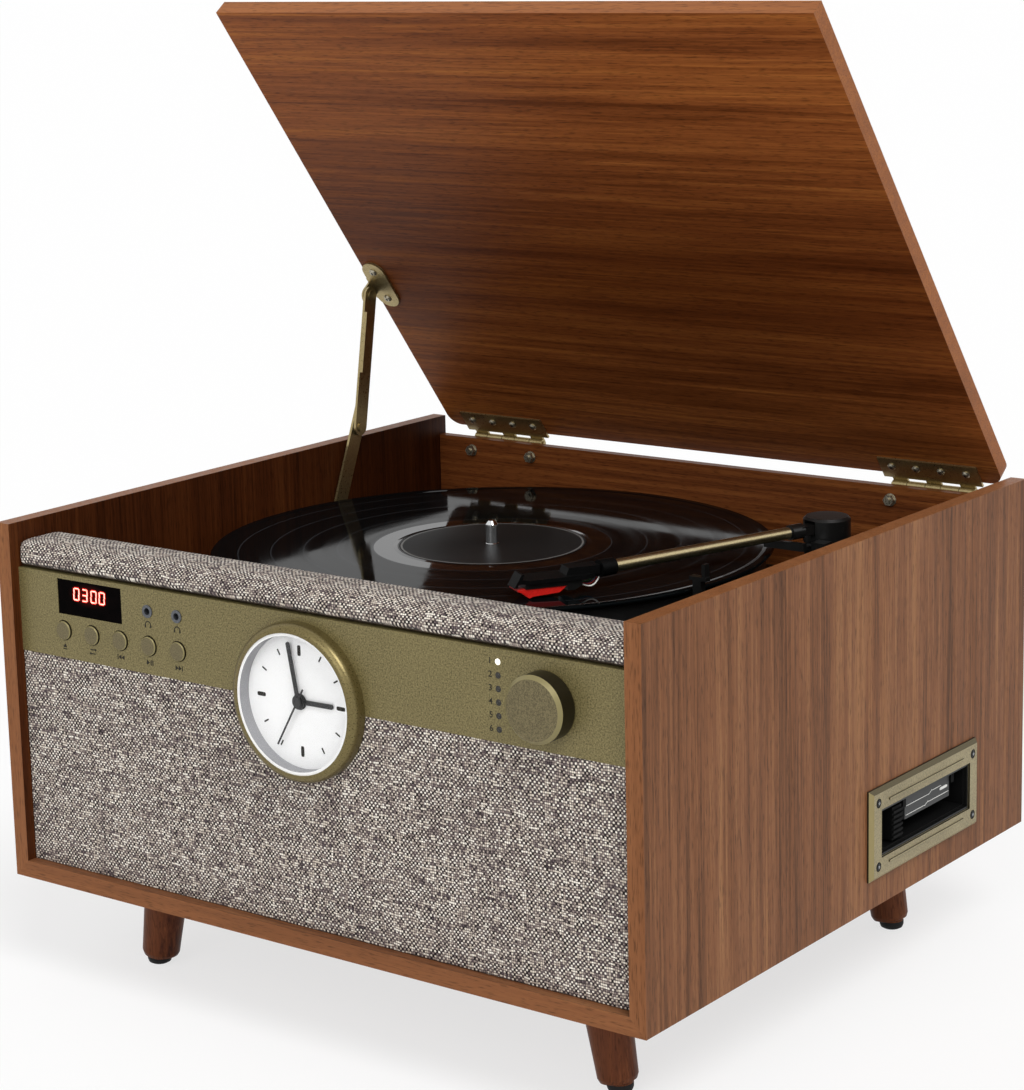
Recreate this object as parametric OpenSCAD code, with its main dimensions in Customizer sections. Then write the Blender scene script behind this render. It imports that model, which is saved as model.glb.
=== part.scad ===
// Wooden record player with a folding lid, a front control strip with a clock,
// a cassette slot on the right side and a disc tray on the left side.
// Millimetres. +X is right seen from the front, +Y is back, +Z is up, floor at Z = 0.
// The lid stands open on its stay.

/* [Cabinet] */
// Width across the two side boards
cab_w = 400; // [390:1:440]
// Depth of the side boards
cab_d = 364; // [358:1:400]
// Height of the side boards
cab_h = 190; // [184:1:215]
// Thickness of the side and bottom boards
board_t = 9; // [8:0.5:12]
// Thickness of the back board
back_t = 6; // [5:0.5:9]
// How far the back board stops below the side boards
back_drop = 11; // [11:0.5:15]
// How far the front panels sit behind the front edge
front_recess = 5.3; // [4:0.1:8]

/* [Legs] */
// Height of a leg with its pad
leg_h = 54.6; // [40:0.2:80]
// Leg diameter at the top
leg_top_d = 25; // [22:0.5:32]
// Leg diameter at the foot
leg_foot_d = 20; // [16:0.5:22]
// Sideways splay of the legs in degrees
leg_splay = 10; // [0:1:15]
// Foot centre to the cabinet's side
leg_inset_x = 50.7; // [40:0.1:80]
// Foot centre to the cabinet's front and back
leg_inset_y = 52; // [40:1:80]
// Diameter of the rubber pad
pad_foot_d = 13; // [8:0.5:16]
// Height of the rubber pad
pad_foot_h = 4.5; // [3:0.5:8]

/* [Front] */
// Height of the control strip
strip_h = 44; // [42:0.5:50]
// Top of the side boards to the top of the strip
strip_drop = 23.5; // [23:0.5:30]
// Sheet thickness of the strip
strip_t = 2; // [1.5:0.1:3]
// Depth of the strip's folded edges
strip_fold = 17.6; // [17:0.1:24]
// Thickness of the stretched cloth
cloth_t = 1.2; // [0.8:0.1:2]
// Thickness of the board behind the cloth
baffle_t = 9; // [6:0.5:12]
// Depth of the cloth covered rail, front to back
rail_pad_d = 29; // [26:0.5:36]
// Height of the cloth covered rail
rail_pad_h = 13.8; // [12:0.2:16]
// Padding thickness round the rail's board
rail_pad_t = 2.5; // [2:0.5:4]
// Rounding of the rail's front edge
rail_pad_r = 5.5; // [3:0.5:7]
// Shadow gap between the rail and the strip
rail_gap = 1; // [0.6:0.1:2]

/* [Controls] */
// Display window width
window_w = 45; // [36:1:50]
// Display window height
window_h = 18.4; // [14:0.2:20]
// Left wall to the window's left edge
window_from_left = 28; // [22:1:30]
// Strip's lower edge to the middle of the window and the sockets
window_up = 32.4; // [32:0.2:34]
// Push button diameter
button_d = 9.8; // [8:0.2:11]
// How far a button stands out
button_out = 1.2; // [0.8:0.1:2]
// Button travel
button_travel = 1.2; // [0.6:0.1:1.6]
// Distance between buttons
button_pitch = 19.9; // [18:0.1:22]
// Left wall to the first button
button_from_left = 31.4; // [28:0.2:36]
// Strip's lower edge to the buttons
button_up = 14.6; // [12:0.2:16]
// Bore of a headphone socket
socket_bore_d = 3.6; // [3.5:0.05:3.8]
// Depth of a headphone socket's bore
socket_bore_l = 14; // [12:0.5:15]
// Outside of a headphone socket
socket_d = 6.6; // [6:0.1:8]
// Lamp diameter
lamp_d = 3; // [2:0.2:4]
// Distance between lamps
lamp_pitch = 6.35; // [5:0.05:6.8]
// Right wall to the lamps
lamp_from_right = 72.7; // [70:0.1:80]
// Volume knob diameter
knob_d = 32; // [26:0.5:36]
// How far the knob stands out from the strip
knob_out = 11.6; // [9:0.2:18]
// Right wall to the knob's axis
knob_from_right = 45.7; // [42:0.1:50]
// Knob shaft diameter
knob_shaft_d = 6; // [5:0.5:8]

/* [Clock] */
// Outside diameter of the bezel
clock_d = 78.6; // [72:0.2:80]
// Height of the clock's centre above the strip's lower edge
clock_up = 1.5; // [0:0.5:4]
// How far the bezel stands out
bezel_out = 8; // [7:0.5:10]
// Radius of the bezel's rounded edge
bezel_round = 4.4; // [3:0.2:5]
// Hour shown by the hands
clock_hour = 2.97; // [0:0.01:12]
// Second shown by the hands
clock_second = 35; // [0:1:59]
// Width and height of the movement behind the dial
movement_w = 48; // [40:1:56]
// Thickness of the movement
movement_t = 10.4; // [10:0.2:16]

/* [Lid] */
// Lid thickness
lid_t = 9; // [8:0.5:12]
// Gap between the lid and each side board
lid_side_gap = 4.5; // [4:0.1:6]
// Gap between the closed lid and the cloth rail
lid_front_gap = 2.6; // [1.5:0.1:5]
// Angle of the open lid in degrees
lid_open = 52.5; // [45:0.5:60]
// Rounding of the lid's rear corners
lid_corner_r = 8; // [2:1:15]
// Hinge axis behind the back board
hinge_back = 3; // [2.8:0.1:4]
// Hinge axis to the lid's rear edge
hinge_to_lid = 6.35; // [5.5:0.05:8]
// Radius of a hinge knuckle
knuckle_r = 2.4; // [2.2:0.1:2.7]
// Hinge pin diameter
hinge_pin_d = 2.4; // [2:0.1:2.6]
// Width of a hinge leaf
leaf_w = 60; // [54:1:70]
// Hinge leaf thickness
leaf_t = 1.2; // [1:0.1:1.4]
// Lower leaf's reach below the hinge axis
leaf_drop = 17; // [14:0.5:20]
// Hinge centre to the cabinet's centre line
hinge_x = 144; // [110:1:150]

/* [Lid stay] */
// Length of the stay's lower bar between pivots
stay_lower_len = 65; // [62:0.5:70]
// Bar width
stay_bar_w = 10; // [8:0.5:12]
// Bar thickness
stay_bar_t = 1.5; // [1.2:0.1:2]
// Wall pivot in front of the hinge axis
stay_wall_front = 116.9; // [112:0.1:122]
// Wall pivot below the closed lid
stay_wall_drop = 43.5; // [40:0.5:44]
// Lid pivot in front of the hinge axis
stay_lid_front = 123.5; // [120:0.1:128]
// Lid pivot below the lid
stay_lid_drop = 7; // [7:0.1:9]
// Bend left in the stay when the lid is open
stay_slack = 0.9; // [0.3:0.1:2]

/* [Turntable] */
// Record diameter
record_d = 301.6; // [295:0.1:303]
// Record thickness
record_t = 1.6; // [1.2:0.1:2.2]
// Record label diameter
label_d = 100; // [90:1:102]
// Top of the side boards to the record
record_drop = 30; // [29:0.5:36]
// Record to the deck
deck_drop = 34; // [33:0.5:40]
// Left wall to the spindle
spindle_from_left = 159.5; // [158:0.5:166]
// Back board to the spindle
spindle_from_back = 158.5; // [156:0.5:162]
// Spindle diameter
spindle_d = 7.1; // [7:0.05:7.2]
// How much thinner, on the radius, the spindle is above the record
spindle_ease = 0.2; // [0.2:0.05:0.4]
// Spindle above the record
spindle_out = 12.5; // [8:0.5:15]
// Platter diameter
platter_d = 292; // [280:1:300]
// Platter height
platter_h = 26; // [22:0.5:27]
// Slip mat thickness
mat_t = 1.4; // [1:0.1:3]
// Belt ring radius under the platter
belt_ring_r = 62; // [50:0.5:70]
// Motor pulley radius
pulley_r = 4.2; // [3.5:0.1:6]
// Motor to spindle
motor_reach = 100; // [90:1:110]
// Deck thickness
deck_t = 4; // [3:0.5:6]

/* [Tone arm] */
// Arm pivot to the right of the spindle
pivot_dx = 156.5; // [154:0.5:160]
// Arm pivot behind the spindle
pivot_dy = 85.2; // [80:0.2:90]
// Arm centre above the record
arm_up = 11; // [10.5:0.1:13]
// Angle of the arm from straight ahead in degrees
arm_yaw = 18.2; // [14:0.1:40]
// Arm tube diameter
arm_d = 6.2; // [4:0.1:8]
// Pivot to the rear end of the bare tube
arm_near = 25.8; // [24:0.1:30]
// Length of the bare tube
arm_bare = 115; // [100:1:120]
// Angle of the head on the arm in degrees
head_yaw = 15; // [8:0.5:25]
// Head length
head_l = 50; // [46:0.5:56]
// Pivot cap diameter
cap_d = 25; // [24:0.5:32]
// Pivot cap height
cap_h = 13.6; // [13:0.2:16]
// Gap between the needle and the record
needle_gap = 0.4; // [0.3:0.1:1]

/* [Side openings] */
// Cassette opening width, front to back
slot_w = 90; // [84:1:98]
// Cassette opening height
slot_h = 22; // [20:0.5:26]
// Border of a side frame
frame_border = 11; // [9:0.5:14]
// Added border above and below the opening
frame_border_up = 1.5; // [0:0.5:3]
// How far a side frame stands out
frame_out = 3; // [2:0.5:5]
// Bevel round a side frame
frame_bevel = 2; // [0:0.5:2]
// Cassette opening's centre behind the cabinet's middle
slot_y = 69.5; // [60:0.5:80]
// Opening's centre above the cabinet's underside
slot_up = 38.5; // [34:0.5:44]
// Disc tray width
tray_w = 136; // [130:1:144]
// Disc tray front height
tray_h = 15; // [13:0.5:18]
// Disc tray length
tray_l = 140; // [136:1:160]

/* [Fits] */
// Running clearance on the radius of a pin or shaft
run_fit = 0.05; // [0.02:0.01:0.09]
// Clear gap between parts that move past each other
gap = 0.4; // [0.3:0.05:0.6]

/* [Hidden] */
$fn = 72;

wood = "saddlebrown";
bronze = "darkolivegreen";
black = "dimgray";
brass = "darkkhaki";

// Cabinet planes. The depth is centred on the knob's front and the open lid's rear edge.
z0 = leg_h;
top_z = z0 + cab_h;
floor_z = z0 + board_t;
in_x = cab_w / 2 - board_t;
lid_overhang = hinge_back - hinge_to_lid * cos(lid_open) + (lid_t + knuckle_r) * sin(lid_open);
knob_over = knob_out - front_recess;
front_y = knob_over - (knob_over + cab_d + lid_overhang) / 2;
back_y = front_y + cab_d;
mid_y = front_y + cab_d / 2;
inner_back_y = back_y - back_t;
panel_y = front_y + front_recess;

// Front panels
strip_z1 = top_z - strip_drop;
strip_z0 = strip_z1 - strip_h;
strip_mid = strip_z0 + strip_h / 2;
pad_z0 = strip_z1 + rail_gap;
pad_z1 = pad_z0 + rail_pad_h;
pad_back_y = panel_y + rail_pad_d;
baffle_y = panel_y + cloth_t;
board_stand = 15;
board_clear = 1.5;
board_side = 6;
board_y = panel_y + board_stand;
pcb_t = 1.6;
fold_t = 1.5;
board_x = in_x - 12;
clock_z = strip_z0 + clock_up;
clock_r = clock_d / 2;
dial_r = clock_r - bezel_round;
window_x = -in_x + window_from_left + window_w / 2;
window_z = strip_z0 + window_up;
button_z = strip_z0 + button_up;
button_x = [for (i = [0:4]) -in_x + button_from_left + i * button_pitch];
socket_x = [button_x[3], button_x[4]];
lamp_x = in_x - lamp_from_right;
lamp_z = [for (i = [0:5]) strip_mid + (i - 2.5) * lamp_pitch];
knob_x = in_x - knob_from_right;
button_flange = 0.8;
switch_y = panel_y + strip_t + button_flange + 2 * gap + button_travel;

// Lid and hinges, given in the closed position
lid_z = top_z - lid_t;
hinge_y = back_y + hinge_back;
hinge_z = lid_z - knuckle_r;
lid_rear_y = hinge_y - hinge_to_lid;
lid_front_y = pad_back_y + lid_front_gap;
lid_half_w = in_x - lid_side_gap;
leaf_on_lid = 12.5;
leaf_past_lid = 2.4;
strap_w = 9;
strap_offsets = [-20.5, 0, 20.5];
leaf_screw_offsets = [-22.5, -7.5, 7.5, 22.5];
leaf_screw_y = lid_rear_y - 6.5;
bolt_half_span = 22;
bolt_z = hinge_z - 7;
bolt_r = 1.5;
screw_r = 1.4;
screw_hole_r = screw_r + run_fit;
screw_head_r = 2.4;
screw_head_h = 1.4;

// Lid stay: the pivots in Y and Z
stay_a = [hinge_y - stay_wall_front, lid_z - stay_wall_drop];
stay_b_closed = [hinge_y - stay_lid_front, lid_z - stay_lid_drop];
stay_b = turned(stay_b_closed - [hinge_y, hinge_z], -lid_open) + [hinge_y, hinge_z];
stay_upper_len = norm(stay_b - stay_a) + stay_slack - stay_lower_len;
stay_k = knee(stay_a, stay_b, stay_lower_len, stay_upper_len);
stay_pin_r = 2;
stay_plate_w = 15.5;
stay_plate_l = 34.5;
stay_plate_t = 1.5;
stay_ear_t = 1.2;
stay_ear_x = -lid_half_w - 0.5;
stay_upper_x = stay_ear_x + stay_ear_t + 0.3;
stay_lower_x = stay_upper_x - 0.7 - stay_bar_t;
stay_head_t = 0.8;
stay_head_r = 3;
wall_screw_l = 5;
wall_screw_half = 11;

// Turntable planes
spindle_x = -in_x + spindle_from_left;
spindle_y = inner_back_y - spindle_from_back;
record_z = top_z - record_drop;
deck_z = record_z - deck_drop;
mat_z = record_z - record_t - mat_t;
platter_z = mat_z - platter_h;
seat_r = spindle_d / 2;
spindle_r = seat_r - spindle_ease;
shaft_r = seat_r + 1.2;
bearing_r = 9;
bearing_up = 3;
bearing_down = 20;
motor_x = spindle_x - motor_reach * cos(20);
motor_y = spindle_y - motor_reach * sin(20);
motor_r = 16;
motor_h = 26;
motor_shaft_r = 1;
pulley_z = deck_z + 8;
pulley_h = 9;
belt_w = 5;
belt_t = 0.8;
belt_z = pulley_z + 2;

// Tone arm planes
pivot_x = spindle_x + pivot_dx;
pivot_y = spindle_y + pivot_dy;
arm_z = record_z + arm_up;
cap_z = arm_z - cap_h + 5.6;
cap_r = cap_d / 2;
base_r = 15;
arm_pin_r = 1.2;
arm_block_w = 7;
arm_block_h = 5;
arm_slot_w = arm_block_w + 2 * gap;
head_start = arm_near + arm_bare;
rest_reach = 118;
rest_yaw = arm_yaw - 16.2;
cue_y = pivot_y - cap_r - 6;
cue_z = arm_z - 7.5;
cue_r = 1.5;
cue_bar_t = 2;
cue_bar_l = 9;
cue_lever_l = 26;
cue_bearing_w = 8;
cue_bearing_x = pivot_x + 3;

// Side openings
slot_z = z0 + slot_up;
slot_mid_y = mid_y + slot_y;
frame_w = slot_w + 2 * frame_border;
frame_h = slot_h + 2 * (frame_border + frame_border_up);
well_wall = 2;
well_depth = 66;
well_w = slot_w - 2;
well_h = slot_h - 2;
tray_frame_w = tray_w + 2 * (frame_border + gap);
tray_frame_h = tray_h + 2 * (frame_border + gap);
frame_screw_sink = 1;
tray_body_h = 9;
tray_body_w = tray_w - 6;
disc_r = 61;
flap_w = 47;
flap_h = 10;
flap_t = 2;
flap_pin_r = 1;
flap_y = slot_mid_y + 8.5;
flap_x = cab_w / 2 - 3.6;
flap_z = slot_z + well_h / 2 - 2.2;
flap_ear = 3;
cassette_button_w = 9.5;
cassette_button_h = 17;
cassette_button_l = 11;
cassette_button_y = flap_y - flap_w / 2 - 6 - gap - cassette_button_w / 2;
cassette_button_stem_r = 2;

// Speakers and rear sockets
speaker_r = 38;
speaker_hole_r = 34;
speaker_x = 108;
speaker_z = floor_z + 54;
rear_from_left = 110;
rear_x = -cab_w / 2 + rear_from_left;
magnet_r = 24;
magnet_y = 18;
magnet_l = 14;
rear_z = z0 + 62;
rear_w = 100;
rear_h = 40;
rear_t = 1.5;
rear_lip = 4;
phono_r = 4.15;
phono_out = 6.4;
phono_pitch = 18;

// A point turned about the X axis, in Y and Z
function turned(p, a) = [p[0] * cos(a) - p[1] * sin(a), p[0] * sin(a) + p[1] * cos(a)];
// The pivot between two bars of given lengths that end at a and b, on the rear side
function knee(a, b, la, lb) =
    let (d = norm(b - a), u = (b - a) / d, along = (d * d + la * la - lb * lb) / (2 * d))
    a + along * u + sqrt(la * la - along * along) * [u[1], -u[0]];
function angle_of(v) = atan2(v[1], v[0]);

// Drawing helpers. Plates take an outline in X and Z or in Y and Z.
module plate_y(y, t) { translate([0, y + t, 0]) rotate([90, 0, 0]) linear_extrude(t) children(); }
module plate_x(x, t) { translate([x, 0, 0]) rotate([90, 0, 90]) linear_extrude(t) children(); }
module turn_y(x, y, z) { translate([x, y, z]) rotate([90, 0, 0]) rotate_extrude() children(); }
module rod_y(x, z, y0, y1, r) { translate([x, y0, z]) rotate([-90, 0, 0]) cylinder(h = y1 - y0, r = r); }
module rod_x(y, z, x0, x1, r) { translate([x0, y, z]) rotate([0, 90, 0]) cylinder(h = x1 - x0, r = r); }
module rod_z(x, y, za, zb, r) { translate([x, y, za]) cylinder(h = zb - za, r = r); }
module span(lo, hi) { translate(lo) cube(hi - lo); }
module box_outline(w, h) { translate([-w / 2, -h / 2]) square([w, h]); }
module obround(l, w) {
    box_outline(l - w, w);
    for (s = [-1, 1]) translate([s * (l - w) / 2, 0]) circle(d = w);
}
module bar_outline(l, w) {
    circle(d = w);
    translate([l, 0]) circle(d = w);
    translate([0, -w / 2]) square([l, w]);
}
// Shapes drawn in the closed position are opened with the lid
module with_lid() {
    translate([0, hinge_y, hinge_z]) rotate([-lid_open, 0, 0]) translate([0, -hinge_y, -hinge_z])
        children();
}
// The arm's own frame: origin on the pivot at arm height, arm along -Y
module arm_frame(yaw = arm_yaw) { translate([pivot_x, pivot_y, arm_z]) rotate([0, 0, -yaw]) children(); }
module head_frame() { arm_frame() translate([0, -head_start, 0]) rotate([0, 0, -head_yaw]) children(); }

// Side frame outline turned into a bevelled plate, with its back at x = 0 and its face at x = out
module bevelled_plate(w, h, out, bevel) {
    intersection() {
        translate([0, 0, -h]) linear_extrude(2 * h)
            polygon([[0, -w / 2], [out - bevel, -w / 2], [out, -w / 2 + bevel],
                [out, w / 2 - bevel], [out - bevel, w / 2], [0, w / 2]]);
        translate([0, w, 0]) rotate([90, 0, 0]) linear_extrude(2 * w)
            polygon([[0, -h / 2], [out - bevel, -h / 2], [out, -h / 2 + bevel],
                [out, h / 2 - bevel], [out - bevel, h / 2], [0, h / 2]]);
    }
}
function frame_screw_places(w, h) =
    [for (sy = [-1, 1], sz = [-1, 1]) [sy * (w / 2 - frame_border / 2 - 1),
        sz * (h / 2 - frame_border / 2 - 1.5)]];

// Cabinet boards, mitred at the lower corners
module side_board(side) {
    plate_y(front_y, cab_d) polygon([[side * cab_w / 2, z0], [side * cab_w / 2, top_z],
        [side * in_x, top_z], [side * in_x, floor_z]]);
}
module left_panel() {
    color(wood) difference() {
        side_board(-1);
        plate_x(-cab_w / 2 - 1, board_t + 2) translate([mid_y, slot_z])
            box_outline(tray_w + 2 * gap, tray_h + 2 * gap);
        for (p = frame_screw_places(tray_frame_w, tray_frame_h))
            rod_x(mid_y + p[0], slot_z + p[1], -cab_w / 2 - 1, -in_x + 1, screw_hole_r);
        at_wall_screws() rod_x(0, 0, -in_x - wall_screw_l - 1, -in_x + 1, screw_hole_r);
    }
}
module right_panel() {
    color(wood) difference() {
        side_board(1);
        plate_x(in_x - 1, board_t + 2) translate([slot_mid_y, slot_z])
            box_outline(slot_w + 2 * well_wall, slot_h + 2 * well_wall);
        for (p = frame_screw_places(frame_w, frame_h))
            rod_x(slot_mid_y + p[0], slot_z + p[1], in_x - 1, cab_w / 2 + 1, screw_hole_r);
    }
}
module bottom_panel() {
    color(wood) plate_y(front_y, cab_d) polygon([[-cab_w / 2, z0], [cab_w / 2, z0],
        [in_x, floor_z], [-in_x, floor_z]]);
}
module back_panel() {
    color(wood) difference() {
        span([-in_x, inner_back_y, floor_z], [in_x, back_y, top_z - back_drop]);
        at_hinges() for (s = [-1, 1]) rod_y(s * bolt_half_span, bolt_z, inner_back_y - 1, back_y + 1,
            bolt_r + run_fit);
        plate_y(inner_back_y - 1, back_t + 2) translate([rear_x, rear_z])
            box_outline(rear_w - 2 * rear_lip, rear_h - 2 * rear_lip);
    }
}

// Board behind the cloth, with speaker holes, and the board inside the cloth covered rail
module front_baffle() {
    color("peru") {
        difference() {
            span([-in_x, baffle_y, floor_z], [in_x, baffle_y + baffle_t, strip_z0]);
            for (s = [-1, 1]) rod_y(s * speaker_x, speaker_z, baffle_y - 1, baffle_y + baffle_t + 1,
                speaker_hole_r);
            rod_y(0, clock_z, baffle_y - 1, baffle_y + baffle_t + 1, dial_r + gap);
        }
        span([-in_x, panel_y + rail_pad_t, pad_z0], [in_x, pad_back_y - rail_pad_t, pad_z1 - rail_pad_t]);
    }
}
module grille_cloth() {
    color("gray") difference() {
        span([-in_x + gap, panel_y, floor_z + gap], [in_x - gap, panel_y + cloth_t, strip_z0 - gap / 2]);
        rod_y(0, clock_z, panel_y - 1, baffle_y + 1, dial_r + gap);
    }
}
// Padding wrapped over the front, top and back of the rail's board, with a rounded front edge
module top_pad() {
    color("gray") translate([-in_x + gap, 0, 0]) rotate([90, 0, 90]) linear_extrude(2 * (in_x - gap))
        difference() {
        union() {
            translate([panel_y, pad_z0]) square([rail_pad_d, rail_pad_h - rail_pad_r]);
            translate([panel_y + rail_pad_r, pad_z0]) square([rail_pad_d - 2 * rail_pad_r, rail_pad_h]);
            for (y = [panel_y + rail_pad_r, pad_back_y - rail_pad_r])
                translate([y, pad_z1 - rail_pad_r]) circle(r = rail_pad_r);
        }
        translate([panel_y + rail_pad_t, pad_z0 - 1])
            square([rail_pad_d - 2 * rail_pad_t, rail_pad_h - rail_pad_t + 1]);
    }
}

// Folded metal strip with the holes for everything on it
module control_panel() {
    color(bronze) difference() {
        union() {
            span([-in_x, panel_y, strip_z0], [in_x, panel_y + strip_t, strip_z1]);
            for (z = [strip_z0, strip_z1 - fold_t])
                span([-in_x, panel_y, z], [in_x, panel_y + strip_fold, z + fold_t]);
        }
        plate_y(panel_y - 1, strip_t + 2) {
            translate([window_x, window_z]) box_outline(window_w, window_h);
            for (x = button_x) translate([x, button_z]) circle(d = button_d + 2 * gap);
            for (x = socket_x) translate([x, window_z]) circle(d = socket_d + 2 * run_fit);
            for (z = lamp_z) translate([lamp_x, z]) circle(d = lamp_d + 2 * run_fit);
            translate([knob_x, strip_mid]) circle(d = knob_shaft_d + 2 * gap);
        }
        rod_y(0, clock_z, panel_y - 1, panel_y + strip_fold + 1, dial_r + gap);
    }
}
module display_window() {
    color("black") plate_y(panel_y + 0.3, strip_t) translate([window_x, window_z])
        box_outline(window_w - 2 * run_fit, window_h - 2 * run_fit);
}
module lamp_lenses() {
    color("white") for (z = lamp_z) turn_y(lamp_x, board_y, z) {
        square([lamp_d / 2, board_y - panel_y]);
        intersection() {
            translate([0, board_y - panel_y - 1.2]) circle(r = lamp_d / 2 + 0.1);
            translate([0, board_y - panel_y - 1.2]) square([lamp_d / 2, 2]);
        }
    }
}
module jack_sockets() {
    color("silver") for (x = socket_x) turn_y(x, board_y, window_z) difference() {
        square([socket_d / 2, board_y - panel_y + 0.5]);
        translate([0, board_y - panel_y + 0.5 - socket_bore_l]) square([socket_bore_d / 2,
            socket_bore_l + 1]);
    }
}

// Knob with a bevelled face, a finger groove behind the face and its shaft
module volume_knob() {
    color(bronze) turn_y(knob_x, panel_y, strip_mid) {
        polygon([[0, gap], [knob_d / 2 - 0.6, gap], [knob_d / 2, gap + 0.6], [knob_d / 2, knob_out - 1.6],
            [knob_d / 2 - 1.4, knob_out - 0.3], [knob_d / 2 - 1.8, knob_out], [0, knob_out]]);
        translate([0, panel_y - board_y - 4]) square([knob_shaft_d / 2, board_y - panel_y + 5]);
    }
}

// Push button: cap, a flange behind the strip that keeps it in, and a stem to its switch
module push_button(x) {
    color(bronze) turn_y(x, panel_y, button_z) {
        polygon([[0, -strip_t - gap], [button_d / 2, -strip_t - gap], [button_d / 2, button_out - 0.5],
            [button_d / 2 - 0.5, button_out], [0, button_out]]);
        translate([0, -strip_t - gap - button_flange]) square([button_d / 2 + 1.2, button_flange]);
    }
}
module tray_button() { push_button(button_x[0]); }
module repeat_button() { push_button(button_x[1]); }
module previous_button() { push_button(button_x[2]); }
module play_button() { push_button(button_x[3]); }
module next_button() { push_button(button_x[4]); }

// Boards between the strip's folds: switches and display on the left, lamps and encoder on the right
module circuit_board() {
    color("darkgreen") {
        difference() {
            span([-in_x + board_side, board_y, strip_z0 + fold_t], [button_x[4] + button_d,
                board_y + pcb_t, record_z - record_t - board_clear]);
            for (x = socket_x) rod_y(x, window_z, board_y - 1, board_y + pcb_t + 1, 0.6);
        }
        span([window_x - window_w / 2 - 1, panel_y + strip_t + 0.3, window_z - window_h / 2 - 0.6],
            [window_x + window_w / 2 + 1, board_y, window_z + window_h / 2 + 0.6]);
        for (x = button_x) span([x - 3, switch_y, button_z - 3], [x + 3, board_y, button_z + 3]);
        difference() {
            union() {
                span([lamp_x - button_d, board_y, strip_z0 + fold_t], [in_x - board_side,
                    board_y + pcb_t, strip_z1 - fold_t]);
                span([knob_x - 7, board_y - 7, strip_mid - 7], [knob_x + 7, board_y, strip_mid + 7]);
            }
            rod_y(knob_x, strip_mid, board_y - 8, board_y + pcb_t + 20, knob_shaft_d / 2 + run_fit);
        }
    }
}

// Clock: bezel with a rounded edge, a white cup with the dial, glass, hands and movement
module clock_bezel() {
    color(bronze) turn_y(0, panel_y, clock_z) {
        translate([dial_r, 0]) square([bezel_round, bezel_out - bezel_round]);
        intersection() {
            translate([dial_r, bezel_out - bezel_round]) circle(r = bezel_round);
            translate([dial_r, 0]) square([bezel_round, bezel_out]);
        }
    }
}
dial_rim = 1.5;
module clock_dial() {
    color("white") turn_y(0, panel_y, clock_z) {
        translate([2.4, -0.6]) square([dial_r - 2.4, 1.2]);
        translate([dial_r - dial_rim, -0.6]) square([dial_rim, bezel_out - 0.2]);
    }
}
module clock_glass() {
    color("lightblue", 0.4) turn_y(0, panel_y, clock_z) translate([0, bezel_out - 2.2])
        square([dial_r - dial_rim, 1]);
}
module clock_movement() {
    color(black) difference() {
        span([-movement_w / 2, panel_y + 0.6, clock_z - movement_w / 2],
            [movement_w / 2, panel_y + 0.6 + movement_t, clock_z + movement_w / 2]);
        rod_y(0, clock_z, panel_y, panel_y + 8, 2 + run_fit);
    }
}
// A hand on its tube: hub, tapered arm and tube, turned clockwise from twelve by angle a
module clock_hand(a, level, t, hub_r, length, width, tail, tube_r, bore_r) {
    color("black") translate([0, panel_y, clock_z]) rotate([0, a, 0]) difference() {
        union() {
            translate([0, -level, 0]) rotate([90, 0, 0]) linear_extrude(t) {
                circle(r = hub_r);
                translate([-width / 2, -tail]) square([width, length + tail - width / 2]);
                translate([0, length - width / 2]) circle(d = width);
            }
            translate([0, -level - t / 2, 0]) rotate([-90, 0, 0]) cylinder(h = level + t / 2 + 5,
                r = tube_r);
        }
        translate([0, -level - t - 1, 0]) rotate([-90, 0, 0]) cylinder(h = level + t + 8, r = bore_r);
    }
}
module hour_hand() { clock_hand(clock_hour * 30, 1.2, 0.6, 4, 21, 2.4, 0, 2, 1.4 + run_fit); }
module minute_hand() {
    clock_hand((clock_hour - floor(clock_hour)) * 360, 2.3, 0.6, 3.6, 29.5, 2.2, 0, 1.4, 0.7 + run_fit);
}
module second_hand() {
    color("black") translate([0, panel_y, clock_z]) rotate([0, clock_second * 6, 0]) {
        translate([0, -3.4, 0]) rotate([90, 0, 0]) linear_extrude(0.5) {
            circle(r = 2.6);
            translate([-0.4, -8]) square([0.8, 34]);
        }
        translate([0, -3.6, 0]) rotate([-90, 0, 0]) cylinder(h = 8.6, r = 0.7);
    }
}

// Deck with a front apron, the spindle bearing and a hole for the motor shaft
module deck_plate() {
    color(black) difference() {
        union() {
            span([-in_x, pad_back_y + gap, deck_z - deck_t], [in_x, inner_back_y, deck_z]);
            span([-in_x, pad_back_y + gap, deck_z - deck_t], [in_x, pad_back_y + gap + 2, pad_z1 - 4]);
            rod_z(spindle_x, spindle_y, deck_z - bearing_down, deck_z + bearing_up, bearing_r);
        }
        rod_z(spindle_x, spindle_y, deck_z - bearing_down + 3, deck_z + bearing_up + 1,
            shaft_r + run_fit);
        rod_z(motor_x, motor_y, deck_z - deck_t - 1, deck_z + 1, 4);
        span([switch_slot[0] - 2.5, switch_slot[1] - 10, deck_z - deck_t - 1],
            [switch_slot[0] + 2.5, switch_slot[1] + 10, deck_z + 1]);
    }
}
switch_slot = [in_x - 24, mid_y - 70];
module speed_switch() {
    color("silver") translate([switch_slot[0], switch_slot[1], deck_z]) {
        span([-2.1, -3, -deck_t - 1.4], [2.1, 3, 1]);
        span([-4, -5, gap], [4, 5, 2.5]);
        span([-1.2, -4, 2.5], [1.2, 4, 6]);
        span([-4, -4.5, -deck_t - 2.2], [4, 4.5, -deck_t - gap]);
    }
}
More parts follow.
